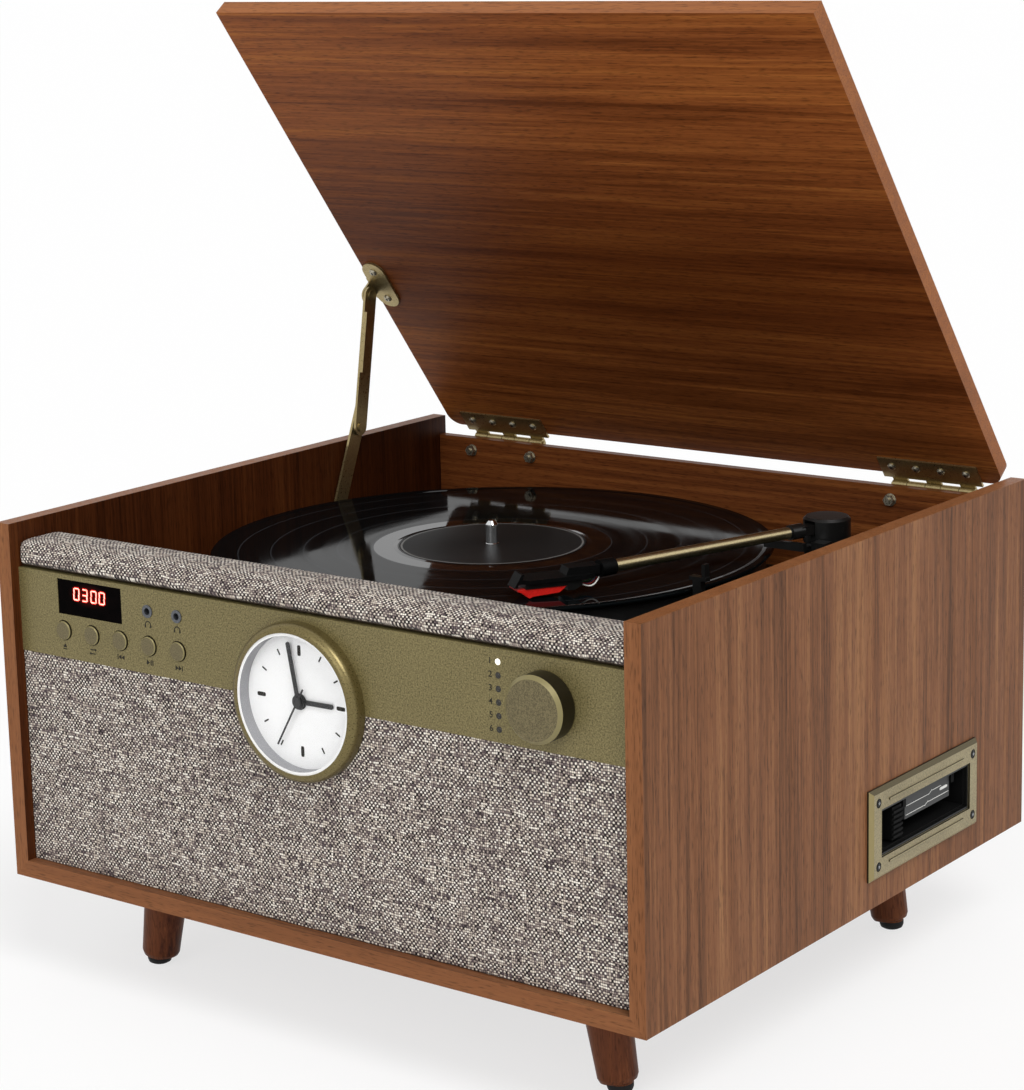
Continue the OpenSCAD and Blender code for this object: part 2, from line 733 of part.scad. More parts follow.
module motor() {
    color("silver") difference() {
        translate([motor_x, motor_y, deck_z - deck_t]) mirror([0, 0, 1]) rotate_extrude() {
            square([motor_r + 4, 1.5]);
            square([motor_r, motor_h - 2]);
            square([motor_r - 2, motor_h]);
        }
        rod_z(motor_x, motor_y, deck_z - deck_t - 15, deck_z, motor_shaft_r + run_fit);
    }
}
module motor_pulley() {
    color("gold") translate([motor_x, motor_y, 0]) {
        translate([0, 0, deck_z - deck_t - 12])
            cylinder(h = pulley_z + pulley_h - deck_z + deck_t + 12, r = motor_shaft_r);
        translate([0, 0, pulley_z]) cylinder(h = pulley_h, r = pulley_r);
        for (z = [pulley_z, pulley_z + pulley_h - 1]) translate([0, 0, z]) cylinder(h = 1,
            r = pulley_r + 1.4);
    }
}
// Belt: a round on the ring, a round on the pulley and two straight runs that leave both at right angles
module belt_round(r, turn) {
    rotate([0, 0, -turn / 2]) rotate_extrude(angle = turn) translate([r, 0]) square([belt_t, belt_w]);
}
module drive_belt() {
    lean = acos((belt_ring_r - pulley_r) / motor_reach);
    run = motor_reach * sin(lean);
    color("black") translate([spindle_x, spindle_y, belt_z]) rotate([0, 0, 200]) {
        rotate([0, 0, 180]) belt_round(belt_ring_r + 0.3, 360 - 2 * lean);
        translate([motor_reach, 0, 0]) belt_round(pulley_r + 0.3, 2 * lean);
        rotate([0, 0, lean]) translate([belt_ring_r + 0.3, -run, 0]) cube([belt_t, run, belt_w]);
        rotate([0, 0, -lean]) translate([belt_ring_r + 0.3, 0, 0]) cube([belt_t, run, belt_w]);
    }
}
// Platter: a dished disc with a skirt, a belt ring and a hub
module platter() {
    color(black) translate([spindle_x, spindle_y, platter_z]) rotate_extrude() difference() {
        union() {
            translate([0, platter_h - 4]) square([platter_d / 2 - 1, 4]);
            translate([platter_d / 2 - 4, 0]) square([4, platter_h - 1]);
            translate([belt_ring_r - 4, pulley_z - platter_z]) square([4,
                platter_h + platter_z - pulley_z]);
            translate([0, deck_z + bearing_up + gap - platter_z])
                square([bearing_r + 3, platter_h - deck_z - bearing_up - gap + platter_z]);
        }
        translate([0, -2]) square([shaft_r + run_fit, platter_h + 4]);
    }
}
module spindle() {
    low = deck_z - bearing_down + 3 + gap;
    tip = record_z + spindle_out;
    color("silver") translate([spindle_x, spindle_y, 0]) rotate_extrude()
        polygon([[0, low], [shaft_r, low], [shaft_r, mat_z], [seat_r, mat_z], [seat_r, record_z + 0.2],
            [spindle_r, record_z + 0.4], [spindle_r, tip - 2], [spindle_r - 1.6, tip], [0, tip]]);
}
module slip_mat() {
    color("black") translate([spindle_x, spindle_y, mat_z]) rotate_extrude()
        translate([seat_r + run_fit, 0]) square([platter_d / 2 - 1 - seat_r, mat_t]);
}
// Record with a raised label and rim
module record() {
    color("black") translate([spindle_x, spindle_y, record_z - record_t]) rotate_extrude()
        polygon([[seat_r + run_fit, 0], [record_d / 2 - 0.5, 0], [record_d / 2, 0.5],
            [record_d / 2, record_t - 0.4], [record_d / 2 - 0.4, record_t], [record_d / 2 - 4, record_t],
            [record_d / 2 - 6, record_t - 0.2], [label_d / 2 + 3, record_t - 0.2],
            [label_d / 2, record_t], [seat_r + run_fit, record_t]]);
}

// Tone arm pedestal with the cue lever's bearing, and the arm rest
module tonearm_base() {
    color(black) {
        difference() {
            union() {
                rod_z(pivot_x, pivot_y, deck_z, deck_z + 3, base_r + 7);
                rod_z(pivot_x, pivot_y, deck_z, cap_z - gap - 2, base_r - 3);
                rod_z(pivot_x, pivot_y, cap_z - gap - 4, cap_z - gap, base_r - 5);
                span([cue_bearing_x, cue_y - 3, deck_z], [cue_bearing_x + cue_bearing_w, pivot_y,
                    cap_z - gap - 3]);
                span([cue_bearing_x, cue_y - 3, deck_z],
                    [cue_bearing_x + cue_bearing_w, pivot_y - cap_r - gap - 0.5, cue_z + 3]);
            }
            rod_z(pivot_x, pivot_y, cap_z - 21, cap_z + 1, 3 + run_fit);
            rod_x(cue_y, cue_z, cue_bearing_x - 1, cue_bearing_x + cue_bearing_w + 1, cue_r + run_fit);
        }
        arm_frame(rest_yaw) translate([0, -rest_reach, 0]) {
            span([-4, -3, deck_z - arm_z], [7, 3, deck_z - arm_z + 2]);
            span([-2, -2, deck_z - arm_z], [3, 2, -arm_d / 2 - gap]);
            span([-4, -2, -arm_d / 2 - gap - 2], [6, 2, -arm_d / 2 - gap]);
            span([arm_d / 2 + gap, -2, -arm_d / 2 - gap - 2], [arm_d / 2 + gap + 2, 2, arm_d / 2]);
        }
    }
}
// Round cap with a slot for the arm and the holes of its cross pin, on a shaft
module pivot_housing() {
    color(black) difference() {
        union() {
            translate([pivot_x, pivot_y, cap_z]) rotate_extrude()
                polygon([[0, 0], [cap_r, 0], [cap_r, cap_h - 1.4], [cap_r - 1.4, cap_h], [0, cap_h]]);
            rod_z(pivot_x, pivot_y, cap_z - 20, cap_z + 1, 3);
        }
        arm_frame() {
            span([-arm_slot_w / 2, -cap_r - 1, -arm_block_h / 2 - 0.8], [arm_slot_w / 2, 6,
                cap_h - 8 - 1.2]);
            translate([-cap_r - 1, 0, 0]) rotate([0, 90, 0]) cylinder(h = cap_d + 2,
                r = arm_pin_r + run_fit);
        }
    }
}
// Arm tube in its rear block, with the cross pin it tilts on
module tonearm_tube() {
    color("gold") arm_frame() {
        span([-arm_block_w / 2, -arm_near + 6, -arm_block_h / 2], [arm_block_w / 2, 4, arm_block_h / 2]);
        translate([0, -arm_near, 0]) rotate([-90, 0, 0]) cylinder(h = 8, r = arm_d / 2 + 0.9);
        translate([0, -head_start - 8, 0]) rotate([-90, 0, 0]) cylinder(h = arm_bare + 10, r = arm_d / 2);
        translate([-cap_r, 0, 0]) rotate([0, 90, 0]) cylinder(h = cap_d, r = arm_pin_r);
    }
}
// Head: a socket on the tube, a flat shell and a finger lift
module headshell() {
    color(black) {
        arm_frame() difference() {
            translate([0, -head_start - 9, 0]) rotate([-90, 0, 0]) cylinder(h = 9, r = arm_d / 2 + 1.2);
            translate([0, -head_start - 8, 0]) rotate([-90, 0, 0]) cylinder(h = 9, r = arm_d / 2 + run_fit);
        }
        head_frame() {
            translate([0, 0, -3.4]) linear_extrude(2.2)
                polygon([[-3.4, -9], [3.4, -9], [8, -17], [8, -head_l + 3], [5, -head_l], [-5, -head_l],
                    [-8, -head_l + 3], [-8, -17]]);
            translate([-5, -head_l, 0]) rotate([90, 0, 90]) linear_extrude(10)
                polygon([[2, -3.4], [2, -1.2], [0.3, -1.2], [1, 1.4], [-0.4, 1.4], [-4.4, -5.2],
                    [-3, -5.2], [-1.7, -3.4]]);
            translate([-5, 0, 0]) rotate([90, 0, 90]) linear_extrude(10)
                polygon([[-27, -2], [-27, -1.2], [-25.5, 2.4], [-9, 2.4], [-9, -2]]);
        }
    }
}
cartridge_top = -3.4;
cartridge_h = 5;
cartridge_l = 30;
stylus_l = 22;
stylus_h = 2.6;
module cartridge() {
    color("black") head_frame() translate([0, -head_l + 1, cartridge_top - cartridge_h])
        rotate([90, 0, 90]) translate([0, 0, -6.5]) linear_extrude(13)
        polygon([[0, stylus_h], [stylus_l, stylus_h], [stylus_l, 0], [cartridge_l - 4, 0],
            [cartridge_l, 2], [cartridge_l, cartridge_h], [0, cartridge_h]]);
}
module stylus() {
    needle_low = needle_gap - arm_up;
    seat = cartridge_top - cartridge_h + stylus_h;
    color("red") head_frame() translate([0, -head_l + 1, 0]) rotate([90, 0, 90]) translate([0, 0, -6])
        linear_extrude(12) polygon([[0, seat], [-2.2, seat - 0.4], [-4, seat - 0.1], [-4, seat - 0.9],
            [-2, seat - 1.6], [1, needle_low + 0.8], [2, needle_low], [4, needle_low + 0.8],
            [stylus_l - 4, seat - 3.2], [stylus_l, seat]]);
}
// Cue lever: axle, lifting bar below the arm and a handle
module cue_lever() {
    color(black) {
        rod_x(cue_y, cue_z, pivot_x - 22, cue_bearing_x + cue_bearing_w + 5, cue_r);
        span([pivot_x - 22, cue_y - cue_bar_l, cue_z - 1], [pivot_x + 2, cue_y + 2, cue_z + 1]);
        span([pivot_x - 22, cue_y - cue_bar_l, cue_z - 1],
            [pivot_x + 2, cue_y - cue_bar_l + 3, arm_z - arm_d / 2 - 0.9 - gap]);
        translate([cue_bearing_x + cue_bearing_w + gap, 0, 0])
            span([0, cue_y - cue_lever_l, cue_z - 1.5], [4, cue_y + 3, cue_z + 1.5]);
    }
}

// Legs, splayed to the sides and cut level, and their rubber pads
module at_feet() {
    for (sx = [-1, 1], sy = [-1, 1])
        translate([sx * (cab_w / 2 - leg_inset_x), mid_y + sy * (cab_d / 2 - leg_inset_y), 0])
        mirror([sx < 0 ? 1 : 0, 0, 0]) children();
}
module legs() {
    color(wood) at_feet() intersection() {
        rotate([0, -leg_splay, 0]) rotate_extrude()
            polygon([[0, -2], [leg_foot_d / 2 - 3, pad_foot_h - 2], [leg_foot_d / 2 - 3, pad_foot_h],
                [leg_foot_d / 2 - 0.9, pad_foot_h + 0.9], [leg_foot_d / 2, pad_foot_h + 3],
                [leg_top_d / 2, leg_h + 8], [0, leg_h + 8]]);
        span([-60, -30, pad_foot_h], [60, 30, z0]);
    }
}
module foot_pads() {
    color("black") at_feet() rotate_extrude()
        polygon([[0, 0], [pad_foot_d / 2 - 2, 0], [pad_foot_d / 2 - 0.6, 0.8], [pad_foot_d / 2, 2.4],
            [pad_foot_d / 2, pad_foot_h], [0, pad_foot_h]]);
}

// Bevelled metal frames round the cassette opening and the disc tray
module side_frame(w, h, hole_w, hole_h) {
    difference() {
        union() {
            bevelled_plate(w, h, frame_out, frame_bevel);
            for (s = [-1, 1]) translate([frame_out - 0.5, -hole_w / 2 + 6, s * (hole_h / 2 + 5.2) - 0.5])
                cube([1, hole_w - 12, 1]);
        }
        plate_x(-1, frame_out + 2) box_outline(hole_w, hole_h);
        plate_x(frame_out - 1, 3) box_outline(hole_w + 3, hole_h + 3);
        for (p = frame_screw_places(w, h)) {
            rod_x(p[0], p[1], -1, frame_out + 1, screw_hole_r);
            rod_x(p[0], p[1], frame_out - frame_screw_sink, frame_out + 1, screw_head_r + run_fit);
        }
    }
}
module side_frames() {
    color(bronze) {
        translate([cab_w / 2, slot_mid_y, slot_z]) side_frame(frame_w, frame_h, slot_w, slot_h);
        translate([-cab_w / 2, mid_y, slot_z]) mirror([1, 0, 0])
            side_frame(tray_frame_w, tray_frame_h, tray_w + 2 * gap, tray_h + 2 * gap);
    }
}
module frame_screw() {
    rotate([0, 90, 0]) rotate_extrude() polygon([[0, -board_t - frame_out + 3], [screw_r,
        -board_t - frame_out + 4],
        [screw_r, 0], [screw_head_r, 0], [screw_head_r, 0.5], [screw_head_r - 0.9, 1.2], [0, 1.4]]);
}
module frame_screws() {
    face = cab_w / 2 + frame_out - frame_screw_sink;
    color("black") {
        translate([face, slot_mid_y, slot_z]) for (p = frame_screw_places(frame_w, frame_h))
            translate([0, p[0], p[1]]) frame_screw();
        translate([-face, mid_y, slot_z]) mirror([1, 0, 0])
            for (p = frame_screw_places(tray_frame_w, tray_frame_h)) translate([0, p[0], p[1]])
                frame_screw();
    }
}

// Cassette unit with its open well, and the disc unit that the tray slides in
module cassette_unit() {
    nose_x = cab_w / 2;
    difference() {
        union() {
            span([in_x - well_depth, slot_mid_y - slot_w / 2 - 6, slot_z - slot_h / 2 - 6],
                [in_x, slot_mid_y + slot_w / 2 + 6, slot_z + slot_h / 2 + 6]);
            span([in_x - 1, slot_mid_y - slot_w / 2 - well_wall + run_fit,
                slot_z - slot_h / 2 - well_wall + run_fit],
                [nose_x, slot_mid_y + slot_w / 2 + well_wall - run_fit,
                    slot_z + slot_h / 2 + well_wall - run_fit]);
        }
        span([in_x - well_depth + 20, flap_y - flap_w / 2 - 6, slot_z - well_h / 2],
            [nose_x + 1, slot_mid_y + well_w / 2, slot_z + well_h / 2]);
        span([in_x - 10, slot_mid_y - well_w / 2, slot_z - well_h / 2],
            [nose_x + 1, flap_y, slot_z + well_h / 2]);
        rod_x(cassette_button_y, slot_z, in_x - 32, in_x, cassette_button_stem_r + run_fit);
    }
    for (s = [-1, 1]) difference() {
        span([flap_x - 4, flap_y + s * (flap_w / 2 + flap_ear / 2 + gap) - flap_ear / 2, flap_z - 3],
            [flap_x + 3, flap_y + s * (flap_w / 2 + flap_ear / 2 + gap) + flap_ear / 2,
                slot_z + well_h / 2]);
        rod_y(flap_x, flap_z, flap_y - flap_w, flap_y + flap_w, flap_pin_r + run_fit);
    }
}
module disc_unit() {
    difference() {
        span([-in_x, mid_y - tray_w / 2 - 4, slot_z - tray_h / 2 - 6],
            [-in_x + tray_l + 16, mid_y + tray_w / 2 + 4, slot_z + tray_h / 2 + 10]);
        span([-in_x - 1, mid_y - tray_body_w / 2 - gap, slot_z - tray_body_h / 2 - gap],
            [-in_x + tray_l + 4, mid_y + tray_body_w / 2 + gap, slot_z + tray_body_h / 2 + gap]);
    }
}
module media_drives() {
    color(black) {
        cassette_unit();
        disc_unit();
    }
}
// Hinged flap that a cassette pushes inwards
module cassette_flap() {
    color("dimgray") {
        span([flap_x, flap_y - flap_w / 2, flap_z - flap_h], [flap_x + flap_t, flap_y + flap_w / 2,
            flap_z + 1]);
        rod_y(flap_x, flap_z, flap_y - flap_w / 2 - flap_ear, flap_y + flap_w / 2 + flap_ear, flap_pin_r);
    }
}
// Ribbed push button beside the flap, on a stem
module cassette_button() {
    face_x = cab_w / 2 + 1;
    color("black") {
        span([face_x - cassette_button_l + 1, cassette_button_y - cassette_button_w / 2,
            slot_z - cassette_button_h / 2],
            [face_x - 1, cassette_button_y + cassette_button_w / 2, slot_z + cassette_button_h / 2]);
        for (i = [0:5]) span([face_x - 1.2, cassette_button_y - cassette_button_w / 2,
            slot_z - 7.5 + i * 2.6],
            [face_x, cassette_button_y + cassette_button_w / 2, slot_z - 6.2 + i * 2.6]);
        rod_x(cassette_button_y, slot_z, in_x - 26, face_x - 2, cassette_button_stem_r);
    }
}
// Disc tray: front plate and a dished bed
module disc_tray() {
    color("dimgray") difference() {
        union() {
            span([-cab_w / 2 - frame_out, mid_y - tray_w / 2, slot_z - tray_h / 2],
                [-in_x - gap, mid_y + tray_w / 2, slot_z + tray_h / 2]);
            span([-in_x - gap - 1, mid_y - tray_body_w / 2, slot_z - tray_body_h / 2],
                [-in_x + tray_l, mid_y + tray_body_w / 2, slot_z + tray_body_h / 2]);
        }
        rod_z(-in_x + tray_l / 2, mid_y, slot_z + tray_body_h / 2 - 3, slot_z + tray_body_h, disc_r);
        rod_z(-in_x + tray_l / 2, mid_y, slot_z - tray_body_h, slot_z + tray_body_h, 18);
    }
}

// Two speakers on the board behind the cloth: ring, cone and magnet
module speakers() {
    color(black) for (s = [-1, 1]) translate([s * speaker_x, baffle_y + baffle_t, speaker_z])
        rotate([-90, 0, 0]) rotate_extrude()
        polygon([[0, 5], [10, 4], [speaker_r - 6, -4], [speaker_r - 4.5, 0], [speaker_r, 0], [speaker_r, 3],
            [speaker_r - 4, 3], [magnet_r - 2, magnet_y], [magnet_r, magnet_y],
            [magnet_r, magnet_y + magnet_l], [0, magnet_y + magnet_l]]);
}
// Rear plate with two phono sockets and a power inlet
module rear_panel() {
    color(black) {
        difference() {
            union() {
                plate_y(back_y, rear_t) translate([rear_x, rear_z]) box_outline(rear_w, rear_h);
                plate_y(inner_back_y, back_t + 0.5) translate([rear_x, rear_z])
                    box_outline(rear_w - 2 * rear_lip - 0.2, rear_h - 2 * rear_lip - 0.2);
                for (i = [0, 1]) rod_y(rear_x + 10 + i * phono_pitch, rear_z, back_y,
                    back_y + phono_out, phono_r);
                plate_y(back_y, rear_t + 2) translate([rear_x - 24, rear_z]) obround(24, 14);
            }
            for (i = [0, 1]) rod_y(rear_x + 10 + i * phono_pitch, rear_z, back_y - 3,
                back_y + phono_out + 1, 1.6);
            plate_y(back_y - 4, 10) translate([rear_x - 24, rear_z]) obround(20, 10);
        }
        for (s = [-1, 1]) rod_y(rear_x - 24 + s * 5, rear_z, back_y - 4.2, back_y + 2, 1.2);
    }
}

// Two butt hinges. The lower leaf carries the pin, the upper leaf has three straps that turn on it.
module at_hinges() { for (s = [-1, 1]) translate([s * hinge_x, 0, 0]) children(); }
module hinge_lower_leaves() {
    color(brass) at_hinges() difference() {
        union() {
            span([-leaf_w / 2, back_y, hinge_z - leaf_drop], [leaf_w / 2, back_y + leaf_t,
                hinge_z - knuckle_r - 0.5]);
            for (i = [0, 1]) {
                lo = strap_offsets[i] + strap_w / 2 + gap;
                hi = strap_offsets[i + 1] - strap_w / 2 - gap;
                rod_x(hinge_y, hinge_z, lo, hi, knuckle_r);
                span([lo, back_y, hinge_z - knuckle_r - 1], [hi, back_y + leaf_t, hinge_z]);
            }
            rod_x(hinge_y, hinge_z, strap_offsets[0] - strap_w / 2 - 1,
                strap_offsets[2] + strap_w / 2 + 1, hinge_pin_d / 2);
        }
        for (s = [-1, 1]) rod_y(s * bolt_half_span, bolt_z, back_y - 1, back_y + leaf_t + 1,
            bolt_r + run_fit);
    }
}
module hinge_upper_leaves() {
    color(brass) with_lid() at_hinges() difference() {
        union() {
            span([-leaf_w / 2, lid_rear_y - leaf_on_lid, lid_z - leaf_t],
                [leaf_w / 2, lid_rear_y + leaf_past_lid, lid_z]);
            for (x = strap_offsets) {
                span([x - strap_w / 2, lid_rear_y, lid_z - leaf_t], [x + strap_w / 2, hinge_y, lid_z]);
                rod_x(hinge_y, hinge_z, x - strap_w / 2, x + strap_w / 2, knuckle_r);
            }
        }
        rod_x(hinge_y, hinge_z, -leaf_w, leaf_w, hinge_pin_d / 2 + run_fit);
        for (x = leaf_screw_offsets) rod_z(x, leaf_screw_y, lid_z - leaf_t - 1, lid_z + 1, screw_hole_r);
    }
}
// Bolts through the back board: head outside, washer and hexagon nut inside; and the stay's wall screws
module hinge_bolts() {
    color(brass) {
        at_hinges() for (s = [-1, 1]) translate([s * bolt_half_span, 0, bolt_z]) {
            rod_y(0, 0, inner_back_y - 4.4, back_y + leaf_t + 1, bolt_r);
            rod_y(0, 0, back_y + leaf_t, back_y + leaf_t + 1.8, bolt_r + 1.2);
            rod_y(0, 0, inner_back_y - 0.6, inner_back_y, bolt_r + 2);
            translate([0, inner_back_y - 0.6, 0]) rotate([90, 0, 0]) cylinder(h = 2.6,
                r = bolt_r * 2.1, $fn = 6);
        }
        at_wall_screws() translate([-in_x + stay_plate_t, 0, 0]) rotate([0, 90, 0]) rotate_extrude()
            polygon([[0, -stay_plate_t - wall_screw_l], [screw_r, 1 - stay_plate_t - wall_screw_l],
                [screw_r, 0], [screw_head_r, 0], [screw_head_r - 0.8, screw_head_h - 0.4],
                [0, screw_head_h - 0.4]]);
    }
}

// Lid, its screws and the stay
module lid_panel() {
    color(wood) with_lid() difference() {
        translate([0, 0, lid_z]) linear_extrude(lid_t) {
            translate([-lid_half_w, lid_front_y])
                square([2 * lid_half_w, lid_rear_y - lid_front_y - lid_corner_r]);
            translate([-lid_half_w + lid_corner_r, lid_front_y])
                square([2 * (lid_half_w - lid_corner_r), lid_rear_y - lid_front_y]);
            for (s = [-1, 1]) translate([s * (lid_half_w - lid_corner_r), lid_rear_y - lid_corner_r])
                circle(r = lid_corner_r);
        }
        at_hinges() for (x = leaf_screw_offsets) rod_z(x, leaf_screw_y, lid_z - 1, lid_z + lid_t - 2,
            screw_hole_r);
        at_stay_screws() rod_z(0, 0, lid_z - 1, lid_z + lid_t - 2, screw_hole_r);
    }
}
module at_stay_screws() {
    for (s = [-1, 1]) translate([-lid_half_w + stay_plate_w / 2, stay_b_closed[0] - 3 + s * 10.5, 0])
        children();
}
module lid_screw(plate) {
    translate([0, 0, lid_z - plate]) mirror([0, 0, 1]) rotate_extrude()
        polygon([[0, -6 - plate], [screw_r, -5 - plate], [screw_r, 0], [screw_head_r, 0],
            [screw_head_r, 0.4], [screw_head_r - 0.8, screw_head_h - 0.2], [0, screw_head_h]]);
}
module lid_screws() {
    color(brass) with_lid() {
        at_hinges() for (x = leaf_screw_offsets) translate([x, leaf_screw_y, 0]) lid_screw(leaf_t);
        at_stay_screws() lid_screw(stay_plate_t);
    }
}
// Oval plate on the lid with a bent ear and the upper pivot's rivet
module stay_lid_bracket() {
    color(brass) with_lid() {
        difference() {
            translate([-lid_half_w + stay_plate_w / 2, stay_b_closed[0] - 3, lid_z - stay_plate_t])
                linear_extrude(stay_plate_t) rotate(90) obround(stay_plate_l, stay_plate_w);
            at_stay_screws() rod_z(0, 0, lid_z - stay_plate_t - 1, lid_z + 1, screw_hole_r);
        }
        span([stay_ear_x, stay_b_closed[0] - 8, lid_z - stay_plate_t],
            [-lid_half_w + 2, stay_b_closed[0] + 8, lid_z]);
        plate_x(stay_ear_x, stay_ear_t) translate(stay_b_closed) {
            circle(r = stay_bar_w / 2);
            translate([-stay_bar_w / 2, 0]) square([stay_bar_w, stay_lid_drop]);
        }
        rod_x(stay_b_closed[0], stay_b_closed[1], stay_ear_x,
            stay_upper_x + stay_bar_t + 0.3 + stay_head_t, stay_pin_r);
        rod_x(stay_b_closed[0], stay_b_closed[1], stay_upper_x + stay_bar_t + 0.3,
            stay_upper_x + stay_bar_t + 0.3 + stay_head_t, stay_head_r);
    }
}
// Upper bar: a strip with a folded front edge, bored for the lid pivot, with the middle rivet's head
module stay_upper_bar() {
    color(brass) translate([0, stay_b[0], stay_b[1]]) rotate([angle_of(stay_k - stay_b), 0, 0])
        difference() {
        union() {
            plate_x(stay_upper_x, stay_bar_t) bar_outline(stay_upper_len, stay_bar_w);
            translate([stay_upper_x, stay_bar_w, -stay_bar_w / 2])
                cube([stay_bar_t + 2, stay_upper_len - 2 * stay_bar_w - 22, 1.2]);
            rod_x(stay_upper_len, 0, stay_upper_x, stay_upper_x + stay_bar_t + stay_head_t, stay_head_r);
        }
        rod_x(0, 0, stay_upper_x - 1, stay_upper_x + stay_bar_t + 1, stay_pin_r + run_fit);
    }
}
// Lower bar: a strip with a folded front edge that runs on past the middle pivot as a stop
module stay_lower_bar() {
    color(brass) translate([0, stay_a[0], stay_a[1]]) rotate([angle_of(stay_k - stay_a), 0, 0])
        difference() {
        union() {
            plate_x(stay_lower_x, stay_bar_t) bar_outline(stay_lower_len, stay_bar_w);
            plate_x(stay_lower_x, stay_bar_t) translate([stay_lower_len, 0.5]) square([26,
                stay_bar_w / 2 - 0.5]);
        }
        rod_x(0, 0, stay_lower_x - 1, stay_lower_x + stay_bar_t + 1, stay_pin_r + run_fit);
    }
}
module at_wall_screws() {
    for (s = [-1, 1]) translate([0, stay_a[0] + s * wall_screw_half, stay_a[1]]) children();
}
module stay_wall_bracket() {
    color(brass) {
        difference() {
            plate_x(-in_x, stay_plate_t) translate(stay_a) obround(stay_plate_l, 11);
            at_wall_screws() rod_x(0, 0, -in_x - 1, -in_x + 3, screw_hole_r);
        }
        rod_x(stay_a[0], stay_a[1], -in_x, stay_lower_x - 0.3, 4.5);
        rod_x(stay_a[0], stay_a[1], -in_x, stay_lower_x + stay_bar_t + 0.3 + stay_head_t, stay_pin_r);
        rod_x(stay_a[0], stay_a[1], stay_lower_x + stay_bar_t + 0.3,
            stay_lower_x + stay_bar_t + 0.3 + stay_head_t, stay_head_r);
    }
}

left_panel();
right_panel();
bottom_panel();
back_panel();
front_baffle();
grille_cloth();
top_pad();
control_panel();
display_window();
lamp_lenses();
jack_sockets();
volume_knob();
tray_button();
repeat_button();
previous_button();
play_button();
next_button();
clock_bezel();
clock_dial();
clock_glass();
clock_movement();
hour_hand();
minute_hand();
second_hand();
deck_plate();
motor();
motor_pulley();
drive_belt();
platter();
spindle();
slip_mat();
record();
tonearm_base();
pivot_housing();
tonearm_tube();
headshell();
cartridge();
stylus();
cue_lever();
speed_switch();
legs();
foot_pads();
side_frames();
frame_screws();
media_drives();
cassette_flap();
cassette_button();
disc_tray();
speakers();
circuit_board();
rear_panel();
hinge_lower_leaves();
hinge_upper_leaves();
hinge_bolts();
lid_screws();
lid_panel();
stay_lid_bracket();
stay_upper_bar();
stay_lower_bar();
stay_wall_bracket();
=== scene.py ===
# Looks of the record player, in metres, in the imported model's own frame.
import math

import bpy
from mathutils import Matrix, Vector


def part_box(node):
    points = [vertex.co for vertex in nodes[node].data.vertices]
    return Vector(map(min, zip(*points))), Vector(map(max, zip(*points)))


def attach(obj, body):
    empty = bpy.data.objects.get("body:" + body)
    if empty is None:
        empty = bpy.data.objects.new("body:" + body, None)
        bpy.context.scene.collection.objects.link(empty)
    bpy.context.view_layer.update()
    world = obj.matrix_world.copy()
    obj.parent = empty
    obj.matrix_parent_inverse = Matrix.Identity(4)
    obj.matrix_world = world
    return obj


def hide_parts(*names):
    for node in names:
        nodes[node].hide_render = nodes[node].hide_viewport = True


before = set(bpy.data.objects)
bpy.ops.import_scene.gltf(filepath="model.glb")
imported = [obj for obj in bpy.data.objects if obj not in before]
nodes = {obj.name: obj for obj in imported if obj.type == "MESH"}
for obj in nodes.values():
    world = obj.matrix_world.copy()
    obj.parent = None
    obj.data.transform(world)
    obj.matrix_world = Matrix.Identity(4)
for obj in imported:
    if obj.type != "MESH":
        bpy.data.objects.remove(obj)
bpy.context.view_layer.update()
MM = 0.001
bpy.ops.object.select_all(action="DESELECT")

# Places on the model in millimetres, as in the part's source
PANEL_Y = -177.639
CLOCK_Z = 178.6
DIAL_FACE_Y, DIAL_MARKS_R = PANEL_Y - 0.6, 27.6
CLOTH_W, CLOTH_H, CLOTH_LOW, CLOTH_CUT_R = 381.2, 112.9, 64.0, 35.3
WINDOW_X, WINDOW_Z, DIGITS_RISE = -140.5, 209.5, 2.3
BUTTON_X, BUTTON_Z = (-159.6, -139.7, -119.8, -99.9, -80.0), 191.7
SOCKET_X, SOCKET_Z = (-99.9, -80.0), 209.5
LAMP_X, LAMP_Z = 118.3, (214.975, 208.625, 202.275, 195.925, 189.575, 183.225)
LIT_LAMP_LOW = 212.0
PRINT_DEPTH = 0.06
HINGE_X, HINGE_Y, HINGE_Z, LID_Z, LID_OPEN = 144.0, 184.061, 233.2, 235.6, 52.5
LID_SIN, LID_COS = math.sin(math.radians(LID_OPEN)), math.cos(math.radians(LID_OPEN))
LEAF_SCREWS_X, LEAF_SCREWS_Y, LEAF_THICK, SCREW_HEAD = (-22.5, -7.5, 7.5, 22.5), 171.211, 1.2, 1.38
STAY_PLATE_X, STAY_PLATE_Y, STAY_PLATE_THICK, STAY_PLATE_SCREWS = -178.75, 57.561, 1.5, 10.5
STAY_WALL, STAY_WALL_SCREWS = (-188.52, 67.161, 192.1), 11.0
SPINDLE = (-31.5, 16.561)
LABEL_R, LABEL_RING_R, RUN_OUT_R, RUN_OUT_HALF = 50.0, 48.6, 57.2, 6.4
TRACK_GAPS_R = (64.0, 83.0, 101.0, 118.5, 136.0)
ARM_PIVOT, ARM_YAW, HEAD_START, HEAD_YAW = (125.0, 101.761, 225.6), 18.2, 140.8, 15.0
BARE_TUBE_MIDDLE, BARE_TUBE_HALF = 83.9, 56.9
SLOT_MID_Y, SLOT_Z, SLOT_HALF_Y, SLOT_HALF_Z = 68.561, 93.1, 46.2, 12.2
TRAY_MID_Y, FRAME_SCREWS_X, FLAP_FACE_X = -0.939, 203.3, 198.4


